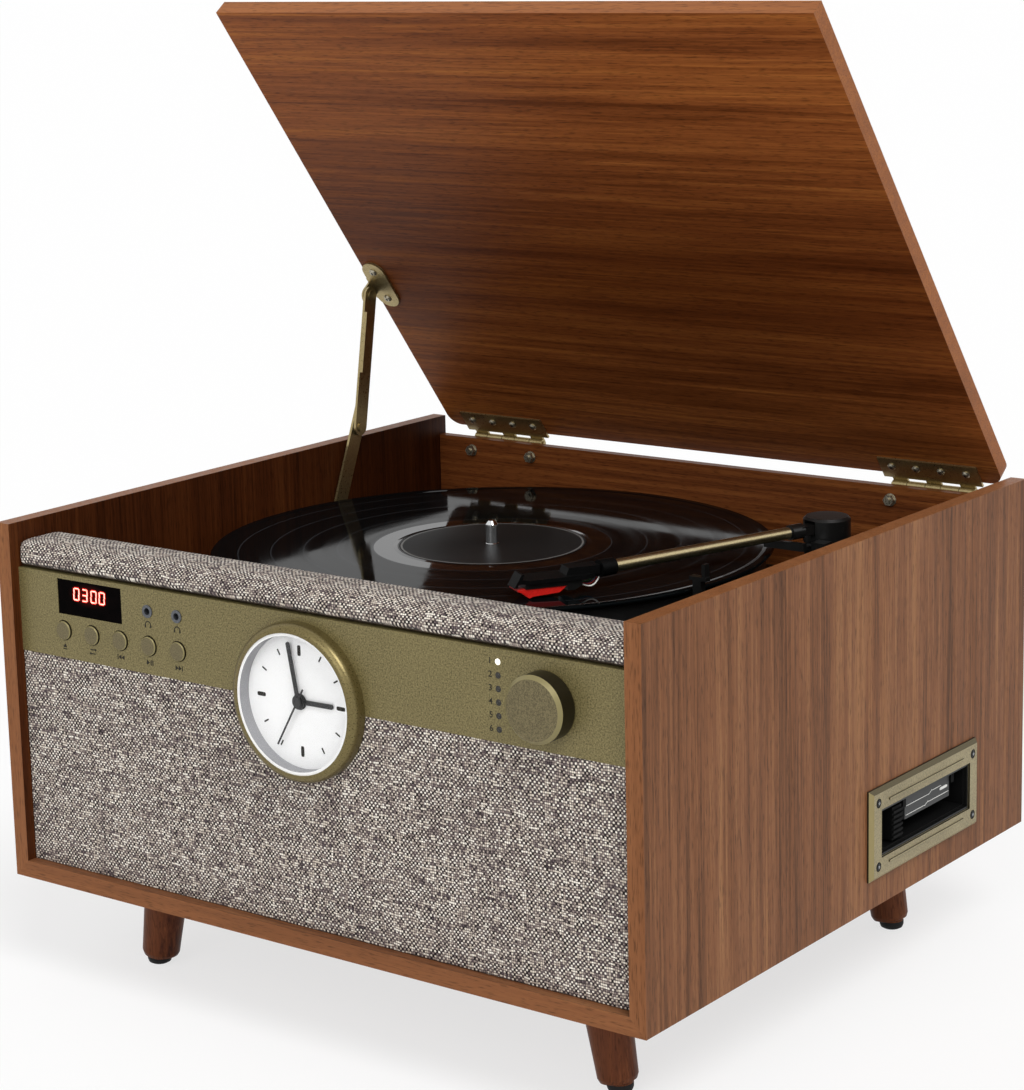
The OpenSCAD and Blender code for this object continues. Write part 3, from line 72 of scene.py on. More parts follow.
# Camera, light and stage
def place_camera():
    """The photograph's view: where it is taken from, its direction and its lens."""
    stand = (0.8573, -1.14654, 0.5441)
    azimuth, elevation, roll = (math.radians(a) for a in (37.610, 11.389, -1.450))
    look = Vector((-math.sin(azimuth) * math.cos(elevation), math.cos(azimuth) * math.cos(elevation),
                   -math.sin(elevation)))
    level = Vector((math.cos(azimuth), math.sin(azimuth), 0))
    above = level.cross(look)
    right = math.cos(roll) * level + math.sin(roll) * above
    up = math.cos(roll) * above - math.sin(roll) * level
    camera = bpy.data.objects.new("camera", bpy.data.cameras.new("camera"))
    bpy.context.collection.objects.link(camera)
    camera.matrix_world = Matrix.Translation(stand) @ Matrix((right, up, -look)).transposed().to_4x4()
    camera.data.lens = 92.41
    camera.data.sensor_width = 36
    camera.data.shift_x = 0.0294
    camera.data.shift_y = -0.0596
    camera.data.clip_end = 200
    bpy.context.scene.camera = camera


def linear(colour):
    """An sRGB hex colour as linear RGBA."""
    parts = [int(colour[i:i + 2], 16) / 255 for i in (1, 3, 5)]
    return [c / 12.92 if c <= 0.04045 else ((c + 0.055) / 1.055) ** 2.4 for c in parts] + [1.0]


def add(tree, kind, values=None, links=None):
    """Adds a node, sets its properties and sockets, and links what feeds it."""
    node = tree.nodes.new("ShaderNode" + kind)
    for key, value in (values or {}).items():
        if key == "stops":
            ramp = node.color_ramp
            while len(ramp.elements) < len(value):
                ramp.elements.new(0.5)
            for element, (place, colour) in zip(ramp.elements, value):
                element.position = place
                element.color = linear(colour) if isinstance(colour, str) else [colour] * 3 + [1.0]
        elif isinstance(key, int) or key in node.inputs:
            node.inputs[key].default_value = linear(value) if isinstance(value, str) else value
        else:
            setattr(node, key, value)
    for key, source in (links or {}).items():
        tree.links.new(source, node.inputs[key])
    return node


def surface(name, **values):
    """A new material with its shader, whose plain values are set on its own sockets."""
    material = bpy.data.materials.new(name)
    material.use_nodes = True
    tree = material.node_tree
    tree.nodes.clear()
    shader = add(tree, "BsdfPrincipled", {k.replace("_", " "): v for k, v in values.items()})
    add(tree, "OutputMaterial", None, {"Surface": shader.outputs["BSDF"]})
    return material, tree, shader


def seen_rays(tree):
    """1 where the camera sees a surface, straight, in a mirror or through glass, and 0 for its light."""
    ray = add(tree, "LightPath").outputs
    straight = add(tree, "Math", {"operation": "MAXIMUM"},
                   {0: ray["Is Camera Ray"], 1: ray["Is Glossy Ray"]})
    return add(tree, "Math", {"operation": "MAXIMUM"},
               {0: straight.outputs[0], 1: ray["Is Transmission Ray"]}).outputs[0]


def light_stage():
    """A white room, two wide lamps, and a white floor that keeps the shadow."""
    world = bpy.data.worlds.new("studio")
    world.use_nodes = True
    tree = world.node_tree
    tree.nodes.clear()
    room = add(tree, "Background", {"Color": "#ffffff", "Strength": 0.42})
    white = add(tree, "Background", {"Color": "#ffffff", "Strength": 1.0})
    both = add(tree, "MixShader", None,
               {0: seen_rays(tree), 1: room.outputs[0], 2: white.outputs[0]})
    add(tree, "OutputWorld", None, {"Surface": both.outputs[0]})
    bpy.context.scene.world = world

    for name, strength, spread, heading, height in (
            ("key lamp", 1.75, 28, 62, 52), ("fill lamp", 0.75, 40, 8, 30)):
        lamp = bpy.data.lights.new(name, "SUN")
        lamp.energy = strength
        lamp.angle = math.radians(spread)
        holder = bpy.data.objects.new(name, lamp)
        bpy.context.collection.objects.link(holder)
        a, e = math.radians(heading), math.radians(height)
        towards = -Vector((math.sin(a) * math.cos(e), -math.cos(a) * math.cos(e), math.sin(e)))
        holder.rotation_euler = towards.to_track_quat("-Z", "Y").to_euler()

    bpy.ops.mesh.primitive_plane_add(size=80)
    floor = bpy.context.object
    floor.name = "floor"
    material, tree, shader = surface("white paper sweep", Base_Color="#ffffff", Roughness=0.9,
                                     Specular_IOR_Level=0.1)
    part = add(tree, "Math", {"operation": "MULTIPLY", 1: 0.7}, {0: seen_rays(tree)})
    glow = add(tree, "Emission", {"Color": "#ffffff", "Strength": 1.0})
    both = add(tree, "MixShader", None,
               {0: part.outputs[0], 1: shader.outputs[0], 2: glow.outputs[0]})
    out = next(n for n in tree.nodes if n.type == "OUTPUT_MATERIAL")
    tree.links.new(both.outputs[0], out.inputs["Surface"])
    floor.data.materials.append(material)
    bpy.context.scene.view_settings.view_transform = "Standard"


# Materials
def walnut(name, grain, face, dark, mid, light, edge, seed, inner=None, shade_band=None):
    """Sliced walnut veneer under matt lacquer: slow colour bands, dark streaks and fine lines along the
    grain, and short dark pores. Cut edges, which are solid lipping, are lighter. Inner faces may be
    darkened by a tint, as painted shade. The leaf on the back may have a band of painted shade, given as a
    direction across the grain, a middle and half width in mm, and a tint. A pore is 0.2 mm wide, drawn 0.7
    mm so that it shows."""
    material, tree, shader = surface(name, Specular_IOR_Level=0.09)
    coord = add(tree, "TexCoord").outputs
    patterns = []
    for across, along, detail, bend in ((0.026, 0.8, 3.0, 1.1), (0.0034, 0.26, 3.0, 0.45),
                                        (0.0013, 0.06, 2.0, 0.3), (0.0007, 0.007, 1.0, 0.0)):
        scale = [1 / across] * 3
        scale[grain] = 1 / along
        place = add(tree, "Mapping", {"Scale": scale, "Location": (seed, seed * 1.7, seed * 0.6)},
                    {"Vector": coord["Object"]})
        patterns.append(add(tree, "TexNoise",
                            {"Scale": 1.0, "Detail": detail, "Roughness": 0.6, "Distortion": bend},
                            {"Vector": place.outputs[0]}).outputs[0])
    bands, streaks, lines, pores = patterns
    fine = add(tree, "Mix", {0: 0.46}, {2: streaks, 3: lines})
    blend = add(tree, "Mix", {0: 0.4}, {2: fine.outputs[0], 3: bands})
    colour = add(tree, "ValToRGB", {"stops": ((0.37, dark), (0.5, mid), (0.63, light))},
                 {"Fac": blend.outputs[0]})
    colour = colour.outputs["Color"]
    turned = add(tree, "VectorMath", {"operation": "DOT_PRODUCT", 1: face},
                 {0: coord["Normal"]}).outputs["Value"]
    # Inner faces darkened by the inner tint: painted shade.
    if inner:
        back = add(tree, "Math", {"operation": "LESS_THAN", 1: -0.5}, {0: turned})
        inner_shaded = add(tree, "Mix", {"data_type": "RGBA", "blend_type": "MULTIPLY", 7: inner},
                    {0: back.outputs[0], 6: colour})
        colour = inner_shaded.outputs[2]
    # A band across the back face darkened by a tint, darkest at its middle: painted shade.
    if shade_band:
        line, middle, half, tint = shade_band
        along = add(tree, "VectorMath", {"operation": "DOT_PRODUCT", 1: line}, {0: coord["Object"]})
        off = add(tree, "Math", {"operation": "SUBTRACT", 1: middle * MM}, {0: along.outputs["Value"]})
        away = add(tree, "Math", {"operation": "ABSOLUTE"}, {0: off.outputs[0]})
        depth = add(tree, "MapRange", {"interpolation_type": "SMOOTHSTEP", "From Min": half * MM,
                                       "From Max": 0.0}, {"Value": away.outputs[0]})
        back = add(tree, "Math", {"operation": "LESS_THAN", 1: -0.5}, {0: turned})
        depth = add(tree, "Math", {"operation": "MULTIPLY"}, {0: depth.outputs[0], 1: back.outputs[0]})
        colour = add(tree, "Mix", {"data_type": "RGBA", "blend_type": "MULTIPLY", 7: tint},
                     {0: depth.outputs[0], 6: colour}).outputs[2]
    flat = add(tree, "Math", {"operation": "ABSOLUTE"}, {0: turned})
    lipping = add(tree, "Math", {"operation": "LESS_THAN", 1: 0.6}, {0: flat.outputs[0]})
    edged = add(tree, "Math", {"operation": "MULTIPLY", 1: 0.6}, {0: lipping.outputs[0]})
    colour = add(tree, "Mix", {"data_type": "RGBA", 7: edge},
                 {0: edged.outputs[0], 6: colour}).outputs[2]
    pore = add(tree, "ValToRGB", {"stops": ((0.54, 1.0), (0.70, 0.5))}, {"Fac": pores})
    colour = add(tree, "Mix", {"data_type": "RGBA", "blend_type": "MULTIPLY", 0: 0.8},
                 {6: colour, 7: pore.outputs["Color"]}).outputs[2]
    tree.links.new(colour, shader.inputs["Base Color"])
    sheen = add(tree, "MapRange", {"From Min": 0.3, "From Max": 0.7, "To Min": 0.34, "To Max": 0.5},
                {"Value": streaks})
    tree.links.new(sheen.outputs[0], shader.inputs["Roughness"])
    bump = add(tree, "Bump", {"Strength": 0.3, "Distance": 0.06 * MM},
               {"Height": pore.outputs["Color"]})
    tree.links.new(bump.outputs[0], shader.inputs["Normal"])
    return material


def tweed_cloth():
    """Plain weave of slubby yarn: pale weft over dark warp, each from near black through grey violet to
    cream along its thread, each crossing a small rounded knot with painted shade towards its edges and in
    the gaps, a few of them longer floats of the weft, and the threads a little out of line. They are 0.6
    mm, drawn 1.16 and 1.26 mm wide so that they show."""
    material, tree, shader = surface("woven tweed speaker cloth", Roughness=0.92, Sheen_Weight=0.1,
                                     Sheen_Roughness=0.5, Specular_IOR_Level=0.15)
    coord = add(tree, "TexCoord").outputs
    wander = add(tree, "TexNoise", {"Scale": 1 / (11 * MM), "Detail": 1.0}, {"Vector": coord["Object"]})
    shift = add(tree, "VectorMath",
                {"operation": "MULTIPLY_ADD", 1: (1.6 * MM,) * 3, 2: (-0.8 * MM,) * 3},
                {0: wander.outputs["Color"]})
    bent = add(tree, "VectorMath", {"operation": "ADD"}, {0: coord["Object"], 1: shift.outputs[0]})
    place = add(tree, "SeparateXYZ", None, {0: bent.outputs[0]}).outputs
    rise = add(tree, "Math", {"operation": "ADD"}, {0: place["Z"], 1: place["Y"]})
    counts, wholes, sides = [], [], []
    for source, thread in ((place["X"], 1.16 * MM), (rise.outputs[0], 1.26 * MM)):
        count = add(tree, "Math", {"operation": "MULTIPLY", 1: 1 / thread}, {0: source}).outputs[0]
        whole = add(tree, "Math", {"operation": "FLOOR"}, {0: count}).outputs[0]
        rest = add(tree, "Math", {"operation": "SUBTRACT"}, {0: count, 1: whole})
        off = add(tree, "Math", {"operation": "MULTIPLY_ADD", 1: 2.0, 2: -1.0}, {0: rest.outputs[0]})
        square = add(tree, "Math", {"operation": "POWER", 1: 2.0}, {0: off.outputs[0]})
        counts.append(count)
        wholes.append(whole)
        sides.append(square.outputs[0])
    yarns = []
    for run, own, layer, low, high in ((1, 0, 0.0, 0.0, 0.56), (0, 1, 5.3, 0.34, 0.92)):
        slow = add(tree, "Math", {"operation": "MULTIPLY", 1: 0.12}, {0: counts[run]})
        step = add(tree, "Math", {"operation": "MULTIPLY", 1: 3.71}, {0: wholes[own]})
        spot = add(tree, "CombineXYZ", {"Z": layer}, {"X": step.outputs[0], "Y": slow.outputs[0]})
        slub = add(tree, "TexNoise", {"Scale": 1.0, "Detail": 2.5, "Roughness": 0.75},
                   {"Vector": spot.outputs[0]})
        yarns.append(add(tree, "MapRange", {"From Min": 0.27, "From Max": 0.73, "To Min": low,
                                            "To Max": high}, {"Value": slub.outputs[0]}).outputs[0])
    knot = add(tree, "CombineXYZ", None, {"X": wholes[0], "Y": wholes[1]})
    fleck = add(tree, "TexWhiteNoise", {"noise_dimensions": "2D"}, {"Vector": knot.outputs[0]})
    chance = add(tree, "SeparateColor", None, {0: fleck.outputs["Color"]})
    floats = add(tree, "Math", {"operation": "GREATER_THAN", 1: 0.9}, {0: chance.outputs[2]})
    order = add(tree, "Math", {"operation": "ADD"}, {0: wholes[0], 1: wholes[1]})
    even = add(tree, "Math", {"operation": "FLOORED_MODULO", 1: 2.0}, {0: order.outputs[0]})
    over = add(tree, "Math", {"operation": "MAXIMUM"},
               {0: even.outputs[0], 1: floats.outputs[0]}).outputs[0]
    yarn = add(tree, "Mix", None, {0: over, 2: yarns[0], 3: yarns[1]})
    tone = add(tree, "Mix", {0: 0.22}, {2: yarn.outputs[0], 3: fleck.outputs["Value"]})
    dyed = add(tree, "ValToRGB", {"stops": (
        (0.20, "#241b1e"), (0.36, "#65575a"), (0.48, "#aa9b93"), (0.58, "#dfd2c2"), (0.72, "#fff7ea"))},
        {"Fac": tone.outputs[0]})
    across = add(tree, "Mix", None, {0: over, 2: sides[0], 3: sides[1]})
    along = add(tree, "Mix", None, {0: over, 2: sides[1], 3: sides[0]})
    arch = add(tree, "Math", {"operation": "SUBTRACT", 0: 1.0}, {1: across.outputs[0]})
    dip = add(tree, "Math", {"operation": "MULTIPLY_ADD", 1: -0.6, 2: 1.0}, {0: along.outputs[0]})
    crown = add(tree, "Math", {"operation": "MULTIPLY"}, {0: arch.outputs[0], 1: dip.outputs[0]})
    # Painted shade: each knot darker towards its edges and near black in the gaps between threads.
    shade = add(tree, "MapRange", {"From Min": 0.1, "From Max": 0.85, "To Min": 0.03, "To Max": 1.0},
                {"Value": crown.outputs[0]})
    colour = add(tree, "Mix", {"data_type": "RGBA", "blend_type": "MULTIPLY", 0: 0.95},
                 {6: dyed.outputs["Color"], 7: shade.outputs[0]})
    tree.links.new(colour.outputs[2], shader.inputs["Base Color"])
    bump = add(tree, "Bump", {"Strength": 0.6, "Distance": 0.3 * MM}, {"Height": crown.outputs[0]})
    tree.links.new(bump.outputs[0], shader.inputs["Normal"])
    return material


def speckled(name, colour, other, grain_mm, rough, bump_mm=0.02, broad=0.3, side=None, rim=None,
             face=(0, 1, 0), **values):
    """Paint, moulded plastic or plated metal: a fine speckle between two close colours, with the
    same grain in its gloss and its bump. Faces turned away from the given direction may be darker, as
    painted shade, and bevels between the two lighter, as a painted highlight."""
    material, tree, shader = surface(name, **values)
    coord = add(tree, "TexCoord").outputs
    fine = add(tree, "TexNoise", {"Scale": 1 / (grain_mm * MM), "Detail": 3.0, "Roughness": 0.6},
               {"Vector": coord["Object"]})
    slow = add(tree, "TexNoise", {"Scale": 1 / (40 * MM), "Detail": 2.0}, {"Vector": coord["Object"]})
    both = add(tree, "Mix", {0: broad}, {2: fine.outputs[0], 3: slow.outputs[0]})
    tint = add(tree, "ValToRGB", {"stops": ((0.35, colour), (0.65, other))},
               {"Fac": both.outputs[0]}).outputs["Color"]
    # Painted shade: faces turned away from the given direction darkened by the side tint.
    if side:
        turned = add(tree, "VectorMath", {"operation": "DOT_PRODUCT", 1: face}, {0: coord["Normal"]})
        flat = add(tree, "Math", {"operation": "ABSOLUTE"}, {0: turned.outputs["Value"]})
        away = add(tree, "MapRange", {"From Min": 0.55, "From Max": 0.3}, {"Value": flat.outputs[0]})
        tint = add(tree, "Mix", {"data_type": "RGBA", "blend_type": "MULTIPLY", 7: side},
                   {0: away.outputs[0], 6: tint}).outputs[2]
    # Painted highlight: bevels lightened by the rim tint.
    if rim:
        bevel = add(tree, "Math", {"operation": "COMPARE", 1: 0.74, 2: 0.18}, {0: flat.outputs[0]})
        tint = add(tree, "Mix", {"data_type": "RGBA", 7: rim}, {0: bevel.outputs[0], 6: tint}).outputs[2]
    tree.links.new(tint, shader.inputs["Base Color"])
    gloss = add(tree, "MapRange", {"From Min": 0.3, "From Max": 0.7, "To Min": rough * 0.85,
                                   "To Max": rough * 1.15}, {"Value": both.outputs[0]})
    tree.links.new(gloss.outputs[0], shader.inputs["Roughness"])
    bump = add(tree, "Bump", {"Strength": 0.4, "Distance": bump_mm * MM}, {"Height": fine.outputs[0]})
    tree.links.new(bump.outputs[0], shader.inputs["Normal"])
    return material


def vinyl_record():
    """Pressed vinyl: glossy black with fine rings, thin pale rings of painted reflection between the
    tracks, a smooth run-out ring like a mirror, and a paper label with a pale ring of painted highlight at
    its edge.
    The groove is 0.1 mm, drawn 1.1 mm so that it shows."""
    material, tree, shader = surface("pressed vinyl with paper label", Anisotropic=0.55, IOR=1.09,
                                     Coat_Roughness=0.03)
    coord = add(tree, "TexCoord").outputs
    centred = add(tree, "Mapping", {"Location": (-SPINDLE[0] * MM, -SPINDLE[1] * MM, 0),
                                    "Scale": (1, 1, 0)}, {"Vector": coord["Object"]})
    radius = add(tree, "VectorMath", {"operation": "LENGTH"}, {0: centred.outputs[0]}).outputs["Value"]
    ring = add(tree, "CombineXYZ", None, {"X": radius})
    groove = add(tree, "TexNoise", {"Scale": 1 / (1.1 * MM), "Detail": 2.0}, {"Vector": ring.outputs[0]})
    track = add(tree, "TexNoise", {"Scale": 1 / (9 * MM), "Detail": 1.0}, {"Vector": ring.outputs[0]})
    on_label = add(tree, "Math", {"operation": "LESS_THAN", 1: LABEL_R * MM}, {0: radius})
    # A pale ring just inside the label's edge: painted highlight.
    inside = add(tree, "Math", {"operation": "COMPARE", 1: LABEL_RING_R * MM, 2: 0.5 * MM},
                 {0: radius})
    black = add(tree, "ValToRGB", {"stops": ((0.35, "#050708"), (0.65, "#0b0e0f"))},
                {"Fac": groove.outputs[0]})
    fibre = add(tree, "TexNoise", {"Scale": 1 / (0.8 * MM), "Detail": 3.0}, {"Vector": coord["Object"]})
    paper = add(tree, "ValToRGB", {"stops": ((0.3, "#151515"), (0.7, "#202020"))},
                {"Fac": fibre.outputs[0]})
    colour = add(tree, "Mix", {"data_type": "RGBA"},
                 {0: on_label.outputs[0], 6: black.outputs["Color"], 7: paper.outputs["Color"]})
    colour = add(tree, "Mix", {"data_type": "RGBA", 7: "#6f6f6d"},
                 {0: inside.outputs[0], 6: colour.outputs[2]}).outputs[2]
    # Pale rings in the gaps between tracks: painted reflection.
    for place in TRACK_GAPS_R:
        between = add(tree, "Math", {"operation": "COMPARE", 1: place * MM, 2: 0.3 * MM}, {0: radius})
        colour = add(tree, "Mix", {"data_type": "RGBA", 7: "#2c2f32"},
                     {0: between.outputs[0], 6: colour}).outputs[2]
    tree.links.new(colour, shader.inputs["Base Color"])
    run_out = add(tree, "Math", {"operation": "COMPARE", 1: RUN_OUT_R * MM, 2: RUN_OUT_HALF * MM},
                  {0: radius})
    mirror = add(tree, "Math", {"operation": "MULTIPLY", 1: 0.5}, {0: run_out.outputs[0]})
    tree.links.new(mirror.outputs[0], shader.inputs["Coat Weight"])
    wear = add(tree, "MapRange", {"From Min": 0.4, "From Max": 0.62, "To Min": 0.04, "To Max": 0.09},
               {"Value": track.outputs[0]})
    rough = add(tree, "Mix", {3: 0.34}, {0: on_label.outputs[0], 2: wear.outputs[0]})
    tree.links.new(rough.outputs[0], shader.inputs["Roughness"])
    along = add(tree, "Tangent", {"direction_type": "RADIAL", "axis": "Z"})
    tree.links.new(along.outputs[0], shader.inputs["Tangent"])
    bump = add(tree, "Bump", {"Strength": 0.2, "Distance": 0.03 * MM}, {"Height": groove.outputs[0]})
    tree.links.new(bump.outputs[0], shader.inputs["Normal"])
    return material


def arm_tube():
    """Gold anodised aluminium, satin drawn along its length, with black moulded ends."""
    material, tree, shader = surface("gold anodised aluminium tube", Roughness=0.3)
    coord = add(tree, "TexCoord").outputs
    centred = add(tree, "Mapping", {"Location": (-ARM_PIVOT[0] * MM, -ARM_PIVOT[1] * MM, 0),
                                    "Scale": (1, 1, 0)},
                  {"Vector": coord["Object"]})
    reach = add(tree, "VectorMath", {"operation": "LENGTH"}, {0: centred.outputs[0]}).outputs["Value"]
    bare = add(tree, "Math",
               {"operation": "COMPARE", 1: BARE_TUBE_MIDDLE * MM, 2: BARE_TUBE_HALF * MM}, {0: reach})
    streak = add(tree, "TexNoise", {"Scale": 1 / (0.7 * MM), "Detail": 2.0}, {"Vector": coord["Object"]})
    gold = add(tree, "ValToRGB", {"stops": ((0.3, "#b6a67c"), (0.7, "#d3c49c"))},
               {"Fac": streak.outputs[0]})
    colour = add(tree, "Mix", {"data_type": "RGBA", 6: "#121110"},
                 {0: bare.outputs[0], 7: gold.outputs["Color"]})
    tree.links.new(colour.outputs[2], shader.inputs["Base Color"])
    tree.links.new(bare.outputs[0], shader.inputs["Metallic"])
    return material


def display_plastic():
    """Smoked acrylic, polished, with a painted red glow of the digits spreading in it."""
    material, tree, shader = surface("smoked acrylic window", Roughness=0.06, Specular_IOR_Level=0.012,
                                     Emission_Strength=1.0)
    middle_x, middle_z, half_x, half_z = WINDOW_X - 0.4, WINDOW_Z + DIGITS_RISE, 15, 6.5
    coord = add(tree, "TexCoord").outputs
    haze = add(tree, "TexNoise", {"Scale": 1 / (6 * MM), "Detail": 2.0}, {"Vector": coord["Object"]})
    tint = add(tree, "ValToRGB", {"stops": ((0.3, "#020101"), (0.7, "#060303"))},
               {"Fac": haze.outputs[0]})
    tree.links.new(tint.outputs["Color"], shader.inputs["Base Color"])
    spot = add(tree, "Mapping", {"Location": (-middle_x / half_x, 0, -middle_z / half_z),
                                 "Scale": (1 / (half_x * MM), 0, 1 / (half_z * MM))},
               {"Vector": coord["Object"]})
    away = add(tree, "VectorMath", {"operation": "LENGTH"}, {0: spot.outputs[0]})
    # Painted glow: the digits' red light shown on the window, fading away from them.
    glow = add(tree, "ValToRGB", {"stops": ((0.35, "#3c0806"), (0.75, "#180403"), (1.0, "#000000"))},
               {"Fac": away.outputs["Value"]})
    tree.links.new(glow.outputs["Color"], shader.inputs["Emission Color"])
    return material


def lamp_plastic():
    """Clear moulded lenses: the top one is lit, the others are dark."""
    material, tree, shader = surface("moulded lamp lens", Roughness=0.2, Specular_IOR_Level=0.35,
                                     Emission_Strength=1.0)
    coord = add(tree, "TexCoord").outputs
    place = add(tree, "SeparateXYZ", None, {0: coord["Object"]}).outputs
    lit = add(tree, "Math", {"operation": "GREATER_THAN", 1: LIT_LAMP_LOW * MM}, {0: place["Z"]})
    cloud = add(tree, "TexNoise", {"Scale": 1 / (1.2 * MM), "Detail": 2.0}, {"Vector": coord["Object"]})
    dark = add(tree, "ValToRGB", {"stops": ((0.3, "#1c1b18"), (0.7, "#35322c"))},
               {"Fac": cloud.outputs[0]})
    colour = add(tree, "Mix", {"data_type": "RGBA", 7: "#f4f1e6"},
                 {0: lit.outputs[0], 6: dark.outputs["Color"]})
    tree.links.new(colour.outputs[2], shader.inputs["Base Color"])
    shine = add(tree, "Mix", {"data_type": "RGBA", 6: "#000000", 7: "#d8d2c0"}, {0: lit.outputs[0]})
    tree.links.new(shine.outputs[2], shader.inputs["Emission Color"])
    return material


def lit_digits(name, colour, other):
    """Red lamp segments behind the smoked window: the lit core pale, its spread red."""
    material, tree, shader = surface(name, Roughness=0.5, Specular_IOR_Level=0.05, Emission_Strength=1.0)
    coord = add(tree, "TexCoord").outputs
    cloud = add(tree, "TexNoise", {"Scale": 1 / (1.5 * MM), "Detail": 1.0}, {"Vector": coord["Object"]})
    tint = add(tree, "ValToRGB", {"stops": ((0.3, colour), (0.7, other))}, {"Fac": cloud.outputs[0]})
    tree.links.new(tint.outputs["Color"], shader.inputs["Base Color"])
    tree.links.new(tint.outputs["Color"], shader.inputs["Emission Color"])
    return material


def clear_glass():
    """Thin flat mineral glass: clear straight on, and a polished shine towards the edge of sight."""
    material, tree, shader = surface("flat mineral glass", Base_Color="#f4f6f6", IOR=1.45)
    coord = add(tree, "TexCoord").outputs
    dust = add(tree, "TexNoise", {"Scale": 1 / (5 * MM), "Detail": 2.0}, {"Vector": coord["Object"]})
    haze = add(tree, "MapRange", {"From Min": 0.4, "From Max": 0.8, "To Min": 0.01, "To Max": 0.06},
               {"Value": dust.outputs[0]})
    tree.links.new(haze.outputs[0], shader.inputs["Roughness"])
    turned = add(tree, "LayerWeight", {"Blend": 0.5})
    steep = add(tree, "Math", {"operation": "POWER", 1: 5.0}, {0: turned.outputs["Facing"]})
    shine = add(tree, "Math", {"operation": "MULTIPLY_ADD", 1: 0.5, 2: 0.01}, {0: steep.outputs[0]})
    tree.links.new(shine.outputs[0], shader.inputs["Alpha"])
    return material


def dial_card():
    """White enamelled dial and rim, with the grey shaded inner wall of its cup."""
    return speckled("white enamelled dial", "#fdfdfc", "#ffffff", 1.5, 0.5, side="#9a9a9d",
                    Specular_IOR_Level=0.2)


def frame_paint():
    """The slot frames: bronze paint on the face, painted shade at the outer edges and on the upper bevel, a
    painted highlight on the other bevels, and a black lip inside."""
    material = speckled("bronze painted slot frame", "#6e6343", "#9f9370", 0.8, 0.4, side="#4b4638",
                        rim="#8f8257", face=(1, 0, 0), Metallic=0.3)
    tree = material.node_tree
    shader = next(n for n in tree.nodes if n.type == "BSDF_PRINCIPLED")
    tint = shader.inputs["Base Color"].links[0].from_socket
    coord = add(tree, "TexCoord").outputs
    place = add(tree, "SeparateXYZ", None, {0: coord["Object"]}).outputs
    # Painted shade on the faces turned upwards, as on the upper bevel.
    upward = add(tree, "SeparateXYZ", None, {0: coord["Normal"]}).outputs["Z"]
    above = add(tree, "Math", {"operation": "GREATER_THAN", 1: 0.4}, {0: upward})
    tint = add(tree, "Mix", {"data_type": "RGBA", "blend_type": "MULTIPLY", 7: "#8d8878"},
               {0: above.outputs[0], 6: tint}).outputs[2]
    along = add(tree, "Math", {"operation": "COMPARE", 1: SLOT_MID_Y * MM, 2: SLOT_HALF_Y * MM},
                {0: place["Y"]})
    high = add(tree, "Math", {"operation": "COMPARE", 1: SLOT_Z * MM, 2: SLOT_HALF_Z * MM},
               {0: place["Z"]})
    right = add(tree, "Math", {"operation": "GREATER_THAN", 1: 0.0}, {0: place["X"]})
    lip = add(tree, "Math", {"operation": "MULTIPLY"}, {0: along.outputs[0], 1: high.outputs[0]})
    lip = add(tree, "Math", {"operation": "MULTIPLY"}, {0: lip.outputs[0], 1: right.outputs[0]})
    black = add(tree, "Mix", {"data_type": "RGBA", 7: "#0b0b0a"}, {0: lip.outputs[0], 6: tint})
    tree.links.new(black.outputs[2], shader.inputs["Base Color"])
    return material


WALNUT = {
    # The inner faces of both side panels get painted shade from the inner tint.
    "left_panel": walnut("walnut veneer left side", 2, (-1, 0, 0), "#4f311f", "#744a30", "#8f6240",
                         "#8d5a37", 3.1, inner="#a08468"),
    "right_panel": walnut("walnut veneer right side", 2, (1, 0, 0), "#563620", "#7c5135", "#966a47",
                          "#8d5a37", 7.7, inner="#a08468"),
    "bottom_panel": walnut("walnut veneer bottom", 0, (0, 0, 1), "#4f311f", "#744a30", "#8f6240",
                           "#8d5a37", 1.3),
    "back_panel": walnut("walnut veneer back", 0, (0, 1, 0), "#4a240f", "#75401e", "#95592b",
                         "#8d572e", 5.2),
    # A broad band of painted shade over the lid's inner face, towards the hinge.
    "lid_panel": walnut("walnut veneer lid", 0, (0, LID_SIN, LID_COS), "#5e2f12", "#864a22", "#a8662f",
                        "#976340", 9.4, shade_band=((0, -LID_COS, LID_SIN), 223, 118, "#b4a79e")),
    "legs": walnut("turned walnut", 2, (1, 0, 0), "#44241a", "#663a24", "#7e4c2e", "#693c24", 2.2),
}
TWEED = tweed_cloth()
BRONZE = speckled("satin bronze paint on steel", "#52492a", "#8c8055", 0.8, 0.42, broad=0.06, Metallic=0.25,
                  Specular_IOR_Level=0.35)
BEZEL_BRONZE = speckled("polished bronze plate", "#645835", "#776b43", 0.8, 0.3, broad=0.06, Metallic=0.65)
# Painted shade on the sides of the knob and buttons, and a painted highlight on their bevels.
KNOB_BRONZE = speckled("satin bronze paint on knobs", "#4e452a", "#776c4a", 0.6, 0.34, broad=0.02,
                       side="#4a4334", rim="#82784f", Metallic=0.3)
BRASS = speckled("antique brass plate", "#93835c", "#ab9a70", 1.2, 0.3, Metallic=0.85)
BOLT_METAL = speckled("aged nickel plate", "#8b8473", "#b9b2a0", 1.0, 0.28, Metallic=0.8)
BLACK_PLASTIC = speckled("black moulded ABS", "#070707", "#111110", 0.7, 0.34, Specular_IOR_Level=0.4)
WELL_PLASTIC = speckled("matt black moulded ABS", "#040404", "#0a0a0a", 0.7, 0.7, Specular_IOR_Level=0.1)
BLACK_METAL = speckled("black oxide steel", "#0a0a0a", "#161616", 0.6, 0.3, Specular_IOR_Level=0.45)
RED_PLASTIC = speckled("red moulded acetal", "#c11410", "#da241c", 0.8, 0.35)
